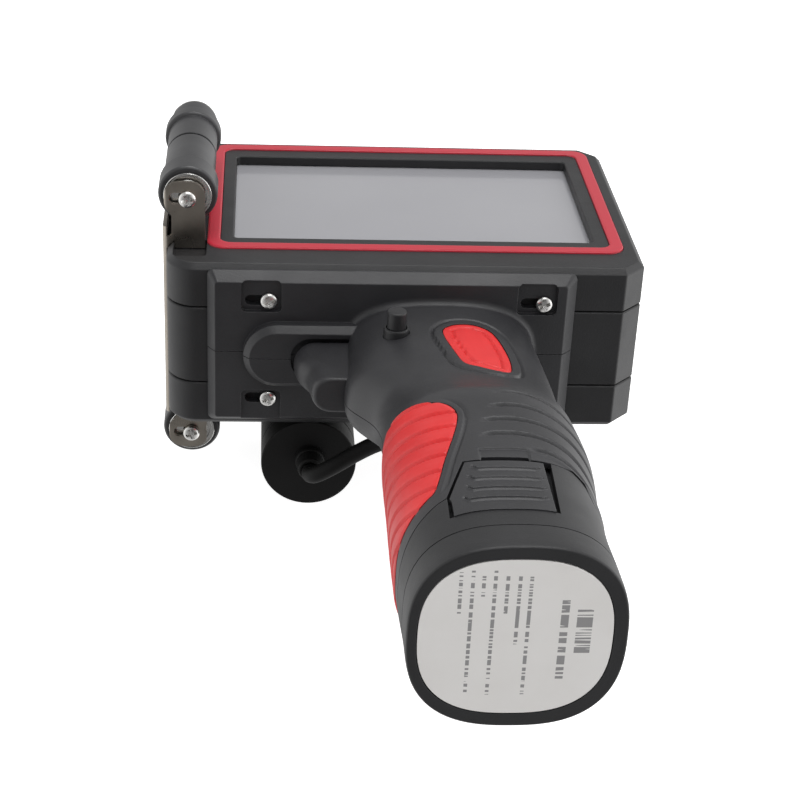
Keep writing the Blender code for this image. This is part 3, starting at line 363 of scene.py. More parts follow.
# Middle and half size of each row of bars, across the label and up it
LABEL_BARS = (
    (94.6, 1.7, -22.0, 5.6), (90.3, 0.85, -24.2, 10.2), (82.6, 0.4, -23.0, 15.6),
    (80.2, 0.4, -16.4, 9.0), (77.6, 0.4, -12.4, 5.0), (75.0, 0.4, -22.6, 16.0), (72.6, 0.4, -10.2, 3.0),
    (70.3, 0.4, -22.6, 16.0), (67.8, 0.4, -12.2, 5.2),
)
LABEL = label_material()

FINISH = {
    "screen_bezel_shell": BLACK, "middle_housing": BLACK, "bottom_housing": BLACK,
    "red_trim_ring": RED_TRIM, "touch_glass": GLASS, "lcd_module": BRIGHT, "main_board": BOARD,
    "ink_cartridge": GRIP_BLACK, "nozzle_plate": BRASS, "cartridge_contact_board": BOARD,
    "print_guide_plate": STEEL, "handle_half_upper": GRIP_BLACK, "handle_half_lower": GRIP_BLACK,
    "head_insert_upper": RED, "head_insert_lower": RED, "front_grip": RED, "trigger": GRIP_BLACK,
    "battery_label": LABEL, "encoder_bracket": STEEL, "encoder_shaft": BRIGHT,
    "battery_terminals": BRASS,
}


def finish_nodes():
    """Every CAD node that stays in view gets its finish."""
    for name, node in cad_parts.items():
        if name in FINISH:
            mat = FINISH[name]
        elif "screw" in name or "bearing" in name or "rod" in name:
            mat = BRIGHT
        elif "tyre" in name or "gland" in name or "cable" in name or "encoder" in name:
            mat = RUBBER
        elif "core" in name:
            mat = STEEL
        elif "cell" in name:
            mat = CELL
        else:
            mat = BLACK
        node.data.materials.clear()
        node.data.materials.append(mat)


finish_nodes()


# --------------------------------------------------------------- mesh workshop

def mesh_object(name, verts, faces):
    """A mesh drawn in millimetres, with its faces turned outwards."""
    bm = bmesh.new()
    made = [bm.verts.new(v) for v in verts]
    for face in faces:
        bm.faces.new([made[i] for i in face])
    bmesh.ops.recalc_face_normals(bm, faces=bm.faces)
    mesh = bpy.data.meshes.new(name)
    bm.to_mesh(mesh)
    bm.free()
    obj = bpy.data.objects.new(name, mesh)
    SCENE.collection.objects.link(obj)
    return obj


def loft(rings, name):
    """Join rings of equally many points, in order, into one capped body."""
    count = len(rings[0])
    verts = [point for ring in rings for point in ring]
    faces = [tuple(range(count)), tuple(range(len(verts) - count, len(verts)))]
    for k in range(len(rings) - 1):
        for i in range(count):
            j = (i + 1) % count
            faces.append((k * count + i, k * count + j, (k + 1) * count + j, (k + 1) * count + i))
    return mesh_object(name, verts, faces)


def prism(outline, low, high, name):
    """Extrude an outline in x and y between two heights."""
    return loft([[(x, y, z) for x, y in outline] for z in (low, high)], name)


def box(low, high, name):
    (x0, y0, z0), (x1, y1, z1) = low, high
    return prism(((x0, y0), (x1, y0), (x1, y1), (x0, y1)), z0, z1, name)


def turned(profile, origin, name, direction=(0.0, 1.0, 0.0), steps=96):
    """Spin an open (radius, height) profile, or a closed one that stays off the axis."""
    rings, verts, faces = [], [], []
    for radius, height in profile:
        if radius < 1e-6:
            rings.append([len(verts)])
            verts.append(Vector((0.0, 0.0, height)))
        else:
            rings.append(list(range(len(verts), len(verts) + steps)))
            verts += [Vector((radius * math.cos(2.0 * math.pi * i / steps),
                              radius * math.sin(2.0 * math.pi * i / steps), height))
                      for i in range(steps)]
    pairs = list(zip(rings, rings[1:]))
    if profile[0][0] > 1e-6:
        pairs.append((rings[-1], rings[0]))
    for one, two in pairs:
        for i in range(steps):
            j = (i + 1) % steps
            corners = (one[i % len(one)], one[j % len(one)], two[j % len(two)], two[i % len(two)])
            faces.append(tuple(dict.fromkeys(corners)))
    turn = Vector((0.0, 0.0, 1.0)).rotation_difference(Vector(direction))
    return mesh_object(name, [turn @ v + Vector(origin) for v in verts], faces)


def bore(name, origin, radius, low, high, direction=(0.0, 1.0, 0.0), steps=64):
    return turned(((0.0, high), (radius, high), (radius, low), (0.0, low)), origin, name, direction, steps)


def applied(obj):
    """Replace the mesh by what its modifiers make of it."""
    view = bpy.context.evaluated_depsgraph_get()
    mesh = bpy.data.meshes.new_from_object(obj.evaluated_get(view))
    obj.modifiers.clear()
    obj.data = mesh
    return obj


def combine(obj, tools, operation="DIFFERENCE", solver="MANIFOLD"):
    """Cut, join or intersect with each tool in turn, then discard the tools."""
    for tool in tools:
        mod = obj.modifiers.new("Boolean", "BOOLEAN")
        mod.operation = operation
        mod.solver = solver
        mod.object = tool
    applied(obj)
    for tool in tools:
        bpy.data.objects.remove(tool)
    return obj


def copied(obj, name):
    twin = bpy.data.objects.new(name, obj.data.copy())
    SCENE.collection.objects.link(twin)
    return twin


def rounded(obj, width, segments=3, angle=30.0):
    mod = obj.modifiers.new("Bevel", "BEVEL")
    mod.width = width
    mod.segments = segments
    mod.limit_method = "ANGLE"
    mod.angle_limit = math.radians(angle)
    mod.use_clamp_overlap = True
    return applied(obj)


def remeshed(obj, voxel, smoothing=0):
    """Fuse overlapping bodies into one even skin, and melt its edges a little."""
    mod = obj.modifiers.new("Remesh", "REMESH")
    mod.mode = "VOXEL"
    mod.voxel_size = voxel
    if smoothing:
        mod = obj.modifiers.new("Smooth", "SMOOTH")
        mod.factor = 0.5
        mod.iterations = smoothing
    return applied(obj)


def joined(objects):
    """Several bodies as one mesh object, overlapping as they lie."""
    bm = bmesh.new()
    for obj in objects:
        bm.from_mesh(obj.data)
    bm.to_mesh(objects[0].data)
    bm.free()
    for obj in objects[1:]:
        bpy.data.objects.remove(obj)
    return objects[0]


def points_of(obj):
    co = np.empty(len(obj.data.vertices) * 3)
    obj.data.vertices.foreach_get("co", co)
    return co.reshape(-1, 3)


def pushed(obj, depth):
    """Move every vertex inwards along its normal by a function of where it is."""
    co = points_of(obj)
    normals = np.empty(len(co) * 3)
    obj.data.vertices.foreach_get("normal", normals)
    co -= normals.reshape(-1, 3) * depth(co)[:, None]
    obj.data.vertices.foreach_set("co", co.ravel())
    obj.data.update()
    return obj


def piece(obj, name, body, mat, nodes, sharp=32.0):
    """Carry a finished shape to the row frame, as a piece that stands for CAD nodes."""
    obj.name = name
    obj.data.name = name
    obj.data.transform(TO_ROW)
    obj.data.shade_smooth()
    obj.data.set_sharp_from_angle(angle=math.radians(sharp))
    flat = obj.modifiers.new("Flat", "WEIGHTED_NORMAL")
    flat.keep_sharp = True
    obj.data.materials.clear()
    obj.data.materials.append(mat)
    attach(obj, body)
    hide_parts(*nodes)
    return obj


# ------------------------------------------------------------------- 2-D outlines

def arc(centre, radius, start, end, steps=12):
    angles = [math.radians(start + (end - start) * i / steps) for i in range(steps + 1)]
    return [(centre[0] + radius * math.cos(a), centre[1] + radius * math.sin(a)) for a in angles]


def rounded_rectangle(span_x, span_y, radius, steps=12):
    (left, right), (near, far) = span_x, span_y
    points = arc((left + radius, near + radius), radius, 180, 270, steps)
    points += arc((right - radius, near + radius), radius, 270, 360, steps)
    points += arc((right - radius, far - radius), radius, 0, 90, steps)
    return points + arc((left + radius, far - radius), radius, 90, 180, steps)


def smooth_line(points, per_span, closed=False):
    """A smooth line through points given as tuples of any size."""
    given = [np.array(p, float) for p in points]
    count = len(given)
    spans = count if closed else count - 1

    def at(i):
        return given[i % count] if closed else given[min(max(i, 0), count - 1)]

    line = []
    for k in range(spans):
        a, b, c, d = (at(k + j) for j in (-1, 0, 1, 2))
        for step in range(per_span):
            t = step / per_span
            line.append(0.5 * (2.0 * b + (c - a) * t + (2.0 * a - 5.0 * b + 4.0 * c - d) * t * t
                               + (3.0 * b - a - 3.0 * c + d) * t ** 3))
    if not closed:
        line.append(given[-1])
    return [tuple(float(x) for x in p) for p in line]


def offset_line(points, distance):
    """Move an open line sideways, to its left for a positive distance."""
    moved = []
    for i, point in enumerate(points):
        before = Vector(points[max(i - 1, 0)])
        after = Vector(points[min(i + 1, len(points) - 1)])
        here = Vector(point)
        normals = []
        for a, b in ((before, here), (here, after)):
            step = b - a
            if step.length > 0.0:
                normals.append(Vector((-step.y, step.x)).normalized())
        middle = sum(normals, Vector((0.0, 0.0))).normalized()
        moved.append(here + middle * distance / max(middle.dot(normals[0]), 0.3))
    return [(p.x, p.y) for p in moved]


def grown(outline, distance):
    """A closed outline moved outwards."""
    closed = [outline[-1]] + list(outline) + [outline[0]]
    area = sum(a[0] * b[1] - b[0] * a[1] for a, b in zip(closed[1:], closed[2:]))
    return offset_line(closed, -distance if area > 0.0 else distance)[1:-1]


def distance_to(outline, x, y):
    """Signed distance from points to a closed outline, negative inside."""
    best = np.full(len(x), 1e9)
    inside = np.zeros(len(x), bool)
    for (ax, ay), (bx, by) in zip(outline, outline[1:] + outline[:1]):
        ex, ey = bx - ax, by - ay
        t = np.clip(((x - ax) * ex + (y - ay) * ey) / (ex * ex + ey * ey), 0.0, 1.0)
        best = np.minimum(best, np.hypot(x - ax - t * ex, y - ay - t * ey))
        crosses = (ay > y) != (by > y)
        if ey != 0.0:
            inside ^= crosses & (x < ex * (y - ay) / ey + ax)
    return np.where(inside, -best, best)


def ease(value, start, end):
    """A smooth step from 0 at start to 1 at end."""
    t = np.clip((value - start) / (end - start), 0.0, 1.0)
    return t * t * (3.0 - 2.0 * t)


def groove(distance, half_width, depth):
    """The depth of a round-bottomed groove at a distance from its line."""
    return depth * (1.0 - ease(np.abs(distance), 0.0, half_width))


# ------------------------------------------------------------------- body shells

LEFT_RADIUS = 8.2
RIGHT_CHAMFER = 5.8
WALL = 2.2
UPPER_SPLIT = -12.64
LOWER_SPLIT = -35.43
EDGE_BEVEL = 1.6
GROOVE_BEVEL = 0.35
SCREEN_X = (18.6, 118.5)
SCREEN_Y = (18.3, 78.8)
RING_X = (11.3, 126.2)
RING_Y = (10.6, 87.6)
RING_WIDTH = 3.6
RING_RADIUS = 5.0
RING_PROUD = 0.5
RING_DEPTH = 0.8
TOP_SKIN = 2.6
NOTCH_Y = ((5.4, 16.6), (74.3, 85.5))
NOTCH_X = (2.4, 11.3)
SHEET_PASS = ((14.3, 16.6), (74.3, 76.6))
NOTCH_DEPTH = 2.2


def body_outline(inset):
    """The body's plan, rounded on the print side and chamfered on the other."""
    left, right = BODY_LEFT + inset, WIDTH - inset
    near, far = inset, DEPTH - inset
    radius = LEFT_RADIUS - inset
    cut = RIGHT_CHAMFER - inset * (2.0 - math.sqrt(2.0))
    soft = 1.0
    points = arc((left + radius, near + radius), radius, 180, 270, 20)
    for corner, start in (((right - cut, near), -90.0), ((right, near + cut), -45.0)):
        away = soft * math.tan(math.radians(22.5))
        x, y = corner
        centre = (x - away, near + soft) if start == -90.0 else (right - soft, y + away)
        points += arc(centre, soft, start, start + 45.0, 4)
    for corner, start in (((right, far - cut), 0.0), ((right - cut, far), 45.0)):
        away = soft * math.tan(math.radians(22.5))
        x, y = corner
        centre = (right - soft, y - away) if start == 0.0 else (x - away, far - soft)
        points += arc(centre, soft, start, start + 45.0, 4)
    return points + arc((left + radius, far - radius), radius, 90, 180, 20)


def edge_levels(height, width, toward):
    """Heights and insets of a chamfer with rounded shoulders, going out to a face."""
    share = ((1.25, 0.0), (1.05, 0.03), (0.9, 0.12), (0.12, 0.9), (0.03, 1.03), (0.0, 1.2))
    return [(height - toward * width * rise, width * inset) for rise, inset in share]


def body_layer(levels, name):
    return loft([[(x, y, z) for x, y in body_outline(inset)] for z, inset in levels], name)


def shell(low, high, low_width, high_width, name):
    levels = edge_levels(low, low_width, -1.0)[::-1] + edge_levels(high, high_width, 1.0)
    return body_layer(levels, name)


def ring_cutter(low, high, name):
    """The groove that the red ring sits in."""
    def outline(grow):
        return rounded_rectangle((RING_X[0] - grow, RING_X[1] + grow),
                                 (RING_Y[0] - grow, RING_Y[1] + grow), RING_RADIUS + grow)
    cutter = prism(outline(0.15), low, high, name)
    island = prism(outline(-RING_WIDTH - 0.15), low - 1.0, high + 1.0, name + "_island")
    return combine(cutter, [island])


def make_shells():
    top = shell(UPPER_SPLIT + GAP / 2, 0.0, GROOVE_BEVEL, EDGE_BEVEL, "top")
    hollow = body_layer(((UPPER_SPLIT - 1.0, WALL), (-TOP_SKIN, WALL)), "hollow")
    opening = []
    for z, grow in ((-5.0, 0.0), (-0.5, 0.0), (-0.25, 0.08), (0.0, 0.35), (1.0, 1.4)):
        span_x = (SCREEN_X[0] - grow, SCREEN_X[1] + grow)
        span_y = (SCREEN_Y[0] - grow, SCREEN_Y[1] + grow)
        opening.append([(x, y, z) for x, y in rounded_rectangle(span_x, span_y, 1.2 + grow, 6)])
    tools = [hollow, loft(opening, "opening"), ring_cutter(-RING_DEPTH - GAP, 2.0, "ring_groove")]
    for near, far in NOTCH_Y:
        notch = prism(rounded_rectangle(NOTCH_X, (near, far), 1.4, 6), -NOTCH_DEPTH, 5.0, "notch")
        tools.append(notch)
    tools += [box((-1.0, near, -NOTCH_DEPTH), (NOTCH_X[0] + 0.6, far, 5.0), "pass")
              for near, far in SHEET_PASS]
    combine(top, tools, solver="EXACT")
    piece(top, "case_top", "printer", BLACK, ["screen_bezel_shell"])

    middle = shell(LOWER_SPLIT + GAP / 2, UPPER_SPLIT - GAP / 2, GROOVE_BEVEL, GROOVE_BEVEL, "middle")
    hollow = body_layer(((LOWER_SPLIT - 2.0, WALL), (UPPER_SPLIT + 2.0, WALL)), "hollow")
    window = box((-3.0, 38.0, -31.5), (4.0, 58.0, -17.0), "window")
    bay_low, bay_high = (4.1, DEPTH - WALL - 5.0, -39.1), (80.3, DEPTH + 2.0, UPPER_SPLIT + 0.6)
    combine(middle, [hollow, window, box(bay_low, bay_high, "bay")], solver="EXACT")
    piece(middle, "case_middle", "printer", BLACK, ["middle_housing"])

    bottom = shell(-THICK, LOWER_SPLIT - GAP / 2, EDGE_BEVEL, GROOVE_BEVEL, "bottom")
    hollow = body_layer(((-THICK + WALL, WALL), (LOWER_SPLIT + 1.0, WALL)), "hollow")
    tools = [hollow, box(bay_low, bay_high, "bay")]
    for near, far in NOTCH_Y:
        notch = prism(rounded_rectangle(NOTCH_X, (near, far), 1.4, 6), -THICK - 5.0,
                      -THICK + NOTCH_DEPTH, "notch")
        tools.append(notch)
    tools += [box((-1.0, near, -THICK - 5.0), (NOTCH_X[0] + 0.6, far, -THICK + NOTCH_DEPTH), "pass")
              for near, far in SHEET_PASS]
    combine(bottom, tools, solver="EXACT")
    piece(bottom, "case_bottom", "printer", BLACK, ["bottom_housing"])

    rings = []
    for z, inset in ((-RING_DEPTH, 0.0), (RING_PROUD - 0.5, 0.0), (RING_PROUD - 0.2, 0.08),
                     (RING_PROUD - 0.05, 0.25), (RING_PROUD, 0.55)):
        rings.append((z, inset))
    outer = loft([[(x, y, z) for x, y in
                   rounded_rectangle((RING_X[0] + i, RING_X[1] - i), (RING_Y[0] + i, RING_Y[1] - i),
                                     RING_RADIUS - i, 16)] for z, i in rings], "ring")
    inner = []
    for z, inset in [(-2.0, 0.0)] + rings + [(RING_PROUD + 1.0, 1.55)]:
        i = RING_WIDTH - inset
        inner.append([(x, y, z) for x, y in
                      rounded_rectangle((RING_X[0] + i, RING_X[1] - i), (RING_Y[0] + i, RING_Y[1] - i),
                                        RING_RADIUS - i / 2, 16)])
    combine(outer, [loft(inner, "ring_inner")], solver="EXACT")
    piece(outer, "screen_ring", "printer", RED_TRIM, ["red_trim_ring"], 9.0)


# ---------------------------------------------------------------- handle outlines

# y station, left x, right x, and reach above and below the mid plane
HANDLE_STATIONS = (
    (-134.4, 57.1, 104.3, 22.9, 23.4),
    (-133.2, 56.9, 104.4, 23.1, 23.6),
    (-126.0, 56.8, 104.2, 22.8, 23.1),
    (-114.0, 56.3, 103.6, 22.6, 22.6),
    (-97.0, 56.1, 103.8, 22.2, 22.5),
    (-80.0, 56.2, 104.9, 22.0, 22.2),
    (-64.0, 56.2, 103.7, 21.5, 21.3),
    (-56.0, 56.5, 103.2, 19.0, 17.8),
    (-50.0, 56.3, 102.4, 17.2, 14.4),
    (-44.0, 54.6, 102.0, 15.8, 11.6),
    (-34.0, 48.3, 101.8, 14.8, 11.8),
    (-22.0, 48.4, 101.0, 14.6, 13.9),
    (-10.0, 48.7, 100.0, 14.8, 14.8),
    (1.5, 49.0, 99.0, 15.5, 15.5),
)
SECTION_POWER = 2.6
HANDLE_TOP = -1.5
HANDLE_END = -134.4
HANDLE_WALL = 2.2
PLATE_X = (11.7, 111.3)
PLATE_Z = (-46.4, -1.0)
PLATE_BEVEL = (2.1, 2.9, 2.3)          # left, right, top and bottom
PLATE_FACE = -3.9
BOSS_X = (21.4, 53.0)
BOSS_HALF = 9.2
BOSS_FACE = -8.2
PLATE_SCREW_X = (28.2, 102.4)
PLATE_SCREW_Z = 14.8
POCKET = (7.4, 3.4)
POCKET_REACH = (2.9, 6.1, 9.0)         # towards the mid plane, then away from it above and below
POCKET_FLOOR = -2.5
BATTERY_X = 80.2
WELL_HALF = (20.5, 20.2)
WELL_POWER = 3.4
PACK_POWER = 4.0
WELL_TOP = -64.2
STICK_TOP = -64.5
CASE_WALL = 1.2
CAP_SPLIT = -125.4
SEAM = (
    (40.0, -117.0), (57.0, -116.4), (60.6, -114.2), (64.3, -112.2), (66.5, -111.4),
    (71.1, -97.8), (96.0, -97.5), (98.6, -99.5), (100.2, -104.0), (103.0, -106.5),
    (120.0, -107.5),
)
LATCH = ((71.35, -98.7), (89.0, -98.7), (89.15, -119.46), (67.35, -119.46), (67.3, -113.4), (66.95, -112.3))
LATCH_SLOT = ((70.6, -90.0), (91.2, -90.0), (90.1, -119.5), (66.4, -119.5), (66.5, -111.6))
LATCH_GAP = ((75.0, -99.0), (86.4, -99.0), (86.0, -96.0), (75.4, -96.0))
LATCH_THICK = 1.1
LABEL_HALF = (20.8, 19.8)
GRIP = (
    (44.0, -56.5), (57.0, -61.0), (60.0, -63.2), (63.0, -65.0), (67.0, -67.8),
    (70.3, -71.6), (71.7, -76.0), (70.7, -83.0), (67.4, -95.0), (64.6, -105.9),
    (62.5, -108.3), (58.4, -110.6), (44.0, -113.6),
)
INSERT = (
    (73.5, -20.5), (75.6, -16.8), (79.0, -15.7), (83.0, -16.2), (86.5, -19.3),
    (88.6, -26.7), (89.5, -35.0), (88.5, -43.0), (84.7, -42.9), (81.0, -40.8),
    (77.6, -38.3), (75.7, -31.5),
)
SKIN_PROUD = 0.4
GRIP_DEPTH = 0.6
INSERT_DEPTH = 0.9
TRIGGER_OUTLINE = (
    (56.0, -7.2), (36.6, -7.2), (35.2, -9.5), (35.0, -12.5), (35.9, -16.5), (38.0, -20.5),
    (38.9, -24.0), (39.3, -27.5), (40.2, -30.2), (42.0, -31.5), (56.0, -31.5),
)
TRIGGER_FRONT = (
    (-7.2, 36.6), (-9.5, 35.2), (-12.5, 35.0), (-16.5, 35.9), (-20.5, 38.0), (-24.0, 38.9),
    (-27.0, 39.4), (-28.6, 40.1),
)
TRIGGER_NOSE = 5.2
TRIGGER_HALF = 5.0
BUTTON_XY = (61.4, -19.0)
BUTTON_TOP = -3.6
BUTTON_FOOT = -13.4
BUTTON_RADIUS = 2.55
COLLAR_TOP = -8.3
COLLAR_RADIUS = 3.4
GLAND_XY = (70.3, -16.8)

# Grooves moulded into the back of the grip: y in the middle, and x where each starts
BACK_GROOVES = ((-64.0, 81.0), (-71.7, 79.0), (-78.6, 76.5), (-85.5, 75.5), (-91.2, 86.0))
GRIP_GROOVES = [-69.8, -76.0, -82.5, -88.5, -94.9, -101.3, -107.9, -114.0, -120.2, -126.4]
GRIP_SLOPE = 0.57
LATCH_RIBS = ((72.8, 87.9, -101.8), (71.7, 88.0, -106.0), (70.9, 88.1, -110.3), (69.8, 87.9, -114.5))

GRIP_LINE = GRIP[:1] + tuple(smooth_line(GRIP[1:-1], 6)) + GRIP[-1:]
INSERT_LINE = smooth_line(INSERT, 6, closed=True)


def handle_size(y):
    """Left x, right x and reach above and below the mid plane at y, by cubic interpolation."""
    rows = HANDLE_STATIONS
    y = min(max(y, rows[0][0]), rows[-1][0])
    k = max(i for i in range(len(rows) - 1) if rows[i][0] <= y)
    one, two = rows[k], rows[k + 1]
    before, after = rows[max(k - 1, 0)], rows[min(k + 2, len(rows) - 1)]
    span = two[0] - one[0]
    t = (y - one[0]) / span
    values = []
    for c in (1, 2, 3, 4):
        slope_one = (two[c] - before[c]) / (two[0] - before[0]) * span
        slope_two = (after[c] - one[c]) / (after[0] - one[0]) * span
        rise = two[c] - one[c]
        cubic = (slope_one + slope_two - 2.0 * rise) * t + 3.0 * rise - 2.0 * slope_one - slope_two
        values.append(one[c] + t * (slope_one + t * cubic))
    return values


def section(y, centre_x, half_x, halves_z, power, count):
    """A rounded-square ring in the plane of x and z, its reach above and below given apart."""
    above, below = halves_z
    ring = []
    for i in range(count):
        c = math.cos(2.0 * math.pi * (i + 0.5) / count)
        s = math.sin(2.0 * math.pi * (i + 0.5) / count)
        ring.append((centre_x + half_x * math.copysign(abs(c) ** (2.0 / power), c), y,
                     MID_Z + (above if s > 0.0 else -below) * abs(s) ** (2.0 / power)))
    return ring


def handle_loft(name, top, end, grow=0.0, step=0.8, count=200):
    """The handle's outer form between two stations; grow is a number or a function of y."""
    rings = []
    levels = max(2, round((top - end) / step) + 1)
    for i in range(levels):
        y = top + (end - top) * i / (levels - 1)
        more = grow(y) if callable(grow) else grow
        left, right, above, below = handle_size(y)
        rings.append(section(y, (left + right) / 2, (right - left) / 2 + more,
                             (above + more, below + more), SECTION_POWER, count))
    return loft(rings, name)


def stick_loft(name, top, end, inset, power):
    half_x, half_z = WELL_HALF[0] - inset, WELL_HALF[1] - inset
    return loft([section(y, BATTERY_X, half_x, (half_z, half_z), power, 120) for y in (top, end)],
                name)


def half_thickness(y):
    rows = sorted((s[0], s[3]) for s in HANDLE_STATIONS)
    return np.interp(y, [r[0] for r in rows], [r[1] for r in rows])


def skin_cutter(name, outline, depth, side=0):
    """What to remove from the handle's skin, inside an outline, down to a depth."""
    low = MID_Z if side > 0 else MID_Z - 40.0
    high = MID_Z if side < 0 else MID_Z + 40.0
    cutter = prism(outline, low, high, name)
    return combine(cutter, [handle_loft(name + "_core", 0.0, -133.0, -depth, 1.5, 160)])


def skin_piece(name, outline, skin, depth, side=0):
    """A piece let into the handle's skin, inside an outline, with a given outer skin."""
    low = MID_Z if side > 0 else MID_Z - 40.0
    high = MID_Z if side < 0 else MID_Z + 40.0
    cutter = prism(outline, low, high, name + "_outline")
    combine(skin, [cutter], "INTERSECT")
    return combine(skin, [handle_loft(name + "_core", 0.5, -133.5, -depth, 1.5, 160)])


# ---------------------------------------------------------------- handle's details

def flare(y):
    """A fillet where the handle runs into its mounting plate."""
    radius = 1.8
    rise = min(max(y - (PLATE_FACE - radius), 0.0), radius)
    return radius - math.sqrt(max(radius * radius - rise * rise, 0.0))


def plate_form():
    """The raised mounting plate: a low slab with sloping sides and crisp corners."""
    rings = []
    share_of = ((-GAP, 0.0), (-0.8, 0.0), (-0.95, 0.03), (PLATE_FACE + 0.2, 0.93),
                (PLATE_FACE + 0.05, 1.0), (PLATE_FACE, 1.1))
    for y, share in share_of:
        left, right, ends = (share * b for b in PLATE_BEVEL)
        outline = rounded_rectangle((PLATE_X[0] + left, PLATE_X[1] - right),
                                    (PLATE_Z[0] + ends, PLATE_Z[1] - ends), 1.8 - share, 8)
        rings.append([(x, y, z) for x, z in outline])
    return loft(rings, "plate")


def boss_form():
    """The round-ended block beside the head, in front of the trigger."""
    rings = []
    for drop, inset in ((BOSS_FACE - HANDLE_TOP + 0.2, 0.0), (-1.9, 0.0), (-1.75, 0.06), (-0.15, 1.55),
                        (0.0, 1.85)):
        radius = BOSS_HALF - inset
        points = arc((BOSS_X[0] + BOSS_HALF, MID_Z), radius, 90, 270, 30)
        points += [(BOSS_X[1], MID_Z - radius), (BOSS_X[1], MID_Z + radius)]
        rings.append([(x, BOSS_FACE - drop, z) for x, z in points])
    return loft(rings, "boss")


def handle_relief(co):
    """How far each point of the handle's skin is pressed in by its moulded details."""
    x, y, z = co.T
    across = np.abs(z - MID_Z)
    inward = half_thickness(y) - across
    drop = 13.0 * np.tanh(np.maximum(inward, 0.0) / 11.0)
    depth = np.zeros(len(co))
    for centre, start in BACK_GROOVES:
        fade = ease(x, start, start + 4.0)
        bend = 0.7 * (1.0 - ease(x, start, start + 6.0))
        away = y + drop - centre + bend
        depth = np.maximum(depth, fade * groove(away, 1.2, 1.35)) - 0.3 * fade * groove(away + 1.9, 1.3, 1.0)
    on_top = ease(across, 8.0, 10.0)
    leaf = distance_to(INSERT_LINE, x, y)
    rim = ease(leaf, -1.0, 0.2) * (1.0 - ease(leaf, 2.2, 2.7))
    leaf_line = groove(leaf - 2.9, 0.75, 0.6)
    depth = depth + on_top * (leaf_line - 0.3 * rim)
    grip = distance_to(list(GRIP_LINE), x, y)
    border = ease(x, 58.0, 62.0) * ease(-y, 66.0, 72.0) * (1.0 - ease(-y, 104.0, 110.0))
    depth = depth + border * (groove(grip - 2.1, 0.75, 0.45) - 0.25 * (1.0 - ease(np.abs(grip - 0.8), 0.5, 1.1)))
    tab = ease(x, 75.0, 75.3) * (1.0 - ease(x, 86.2, 86.5)) * (1.0 - ease(y, -92.6, -92.3)) * on_top
    return depth + 0.4 * tab


def make_handle():
    skin = pushed(handle_loft("skin", HANDLE_TOP, -122.0, flare, 0.3, 480), handle_relief)
    combine(skin, [boss_form(), plate_form()], "UNION")
    below = offset_line(SEAM, GAP / 2) + [(120.0, -150.0), (40.0, -150.0)]
    slot_low = (40.0, TRIGGER_FRONT[-1][0] - GAP, MID_Z - TRIGGER_HALF - GAP)
    slot_high = (58.0, TRIGGER_OUTLINE[0][1] + GAP, MID_Z + TRIGGER_HALF + GAP)
    slot = rounded(box(slot_low, slot_high, "trigger_slot"), 1.6, 4)
    well = rounded_rectangle((34.2, 60.0), (MID_Z - 6.2, MID_Z + 6.2), 5.6)
    trigger_well = loft([[(x, y, z) for x, z in well] for y in (BOSS_FACE - 1.0, BOSS_FACE + 2.8)], "well")
    tools = [
        handle_loft("neck", 1.0, -59.5, -HANDLE_WALL, 1.5, 120),
        stick_loft("well", WELL_TOP, HANDLE_END - 8.0, 0.0, WELL_POWER),
        prism(below, -70.0, 30.0, "below_seam"),
        skin_cutter("grip_recess", grown(GRIP_LINE, 0.2), GRIP_DEPTH + GAP),
        slot, trigger_well,
        box((72.3, -66.0, MID_Z - 5.2), (88.3, -58.0, MID_Z + 5.2), "terminal_slot"),
        bore("button_hole", (*BUTTON_XY, 0.0), COLLAR_RADIUS + 0.12, -16.0, -6.0, (0, 0, 1)),
        bore("gland_hole", (*GLAND_XY, 0.0), 3.0, -42.0, -34.0, (0, 0, 1)),
    ]
    for side in (1, -1):
        tools.append(skin_cutter("leaf_recess", grown(INSERT_LINE, 0.2), INSERT_DEPTH + GAP, side))
        tools.append(skin_cutter("latch_gap", LATCH_GAP, 1.9, side))
        for x in PLATE_SCREW_X:
            z = MID_Z + side * PLATE_SCREW_Z
            inward, above, below = POCKET_REACH
            span = (z - inward, z + above) if side > 0 else (z - below, z + inward)
            pocket = rounded_rectangle((x - POCKET[0], x + POCKET[1]), span, 1.3, 6)
            tools.append(loft([[(px, y, pz) for px, pz in pocket] for y in (-8.0, POCKET_FLOOR)], "pocket"))
            track = rounded_rectangle((x - 6.4, x + 1.6), (z - 1.5, z + 1.5), 1.45, 8)
            tools.append(loft([[(px, y, pz) for px, pz in track] for y in (-3.0, 1.0)], "track"))
    combine(skin, tools)
    for label, side in (("upper", 1), ("lower", -1)):
        half = copied(skin, "half") if side > 0 else skin
        bottom = MID_Z + 0.1 if side > 0 else -90.0
        top = 40.0 if side > 0 else MID_Z - 0.1
        combine(half, [box((0.0, -150.0, bottom), (140.0, 10.0, top), "keep")], "INTERSECT")
        piece(half, "handle_" + label, "printer", GRIP_BLACK, ["handle_half_" + label], 38.0)


def leaf_relief(co):
    """The leaf is gently domed, with one engraved contour inside its edge."""
    x, y, _ = co.T
    leaf = distance_to(INSERT_LINE, x, y)
    return groove(leaf + 2.4, 0.55, 0.65) + 0.3 * ease(leaf, -0.8, 0.0)


def grip_relief(co):
    """Slanting finger grooves that meet on the front of the grip."""
    x, y, z = co.T
    slant = y + GRIP_SLOPE * (np.abs(z - MID_Z) + MID_Z)
    depth = 0.3 * ease(distance_to(list(GRIP_LINE), x, y), -0.9, 0.0)
    for centre in GRIP_GROOVES:
        away = slant - centre
        depth = np.maximum(depth, groove(away, 0.85, 0.88) + groove(away + 1.5, 2.2, 0.1))
    return depth


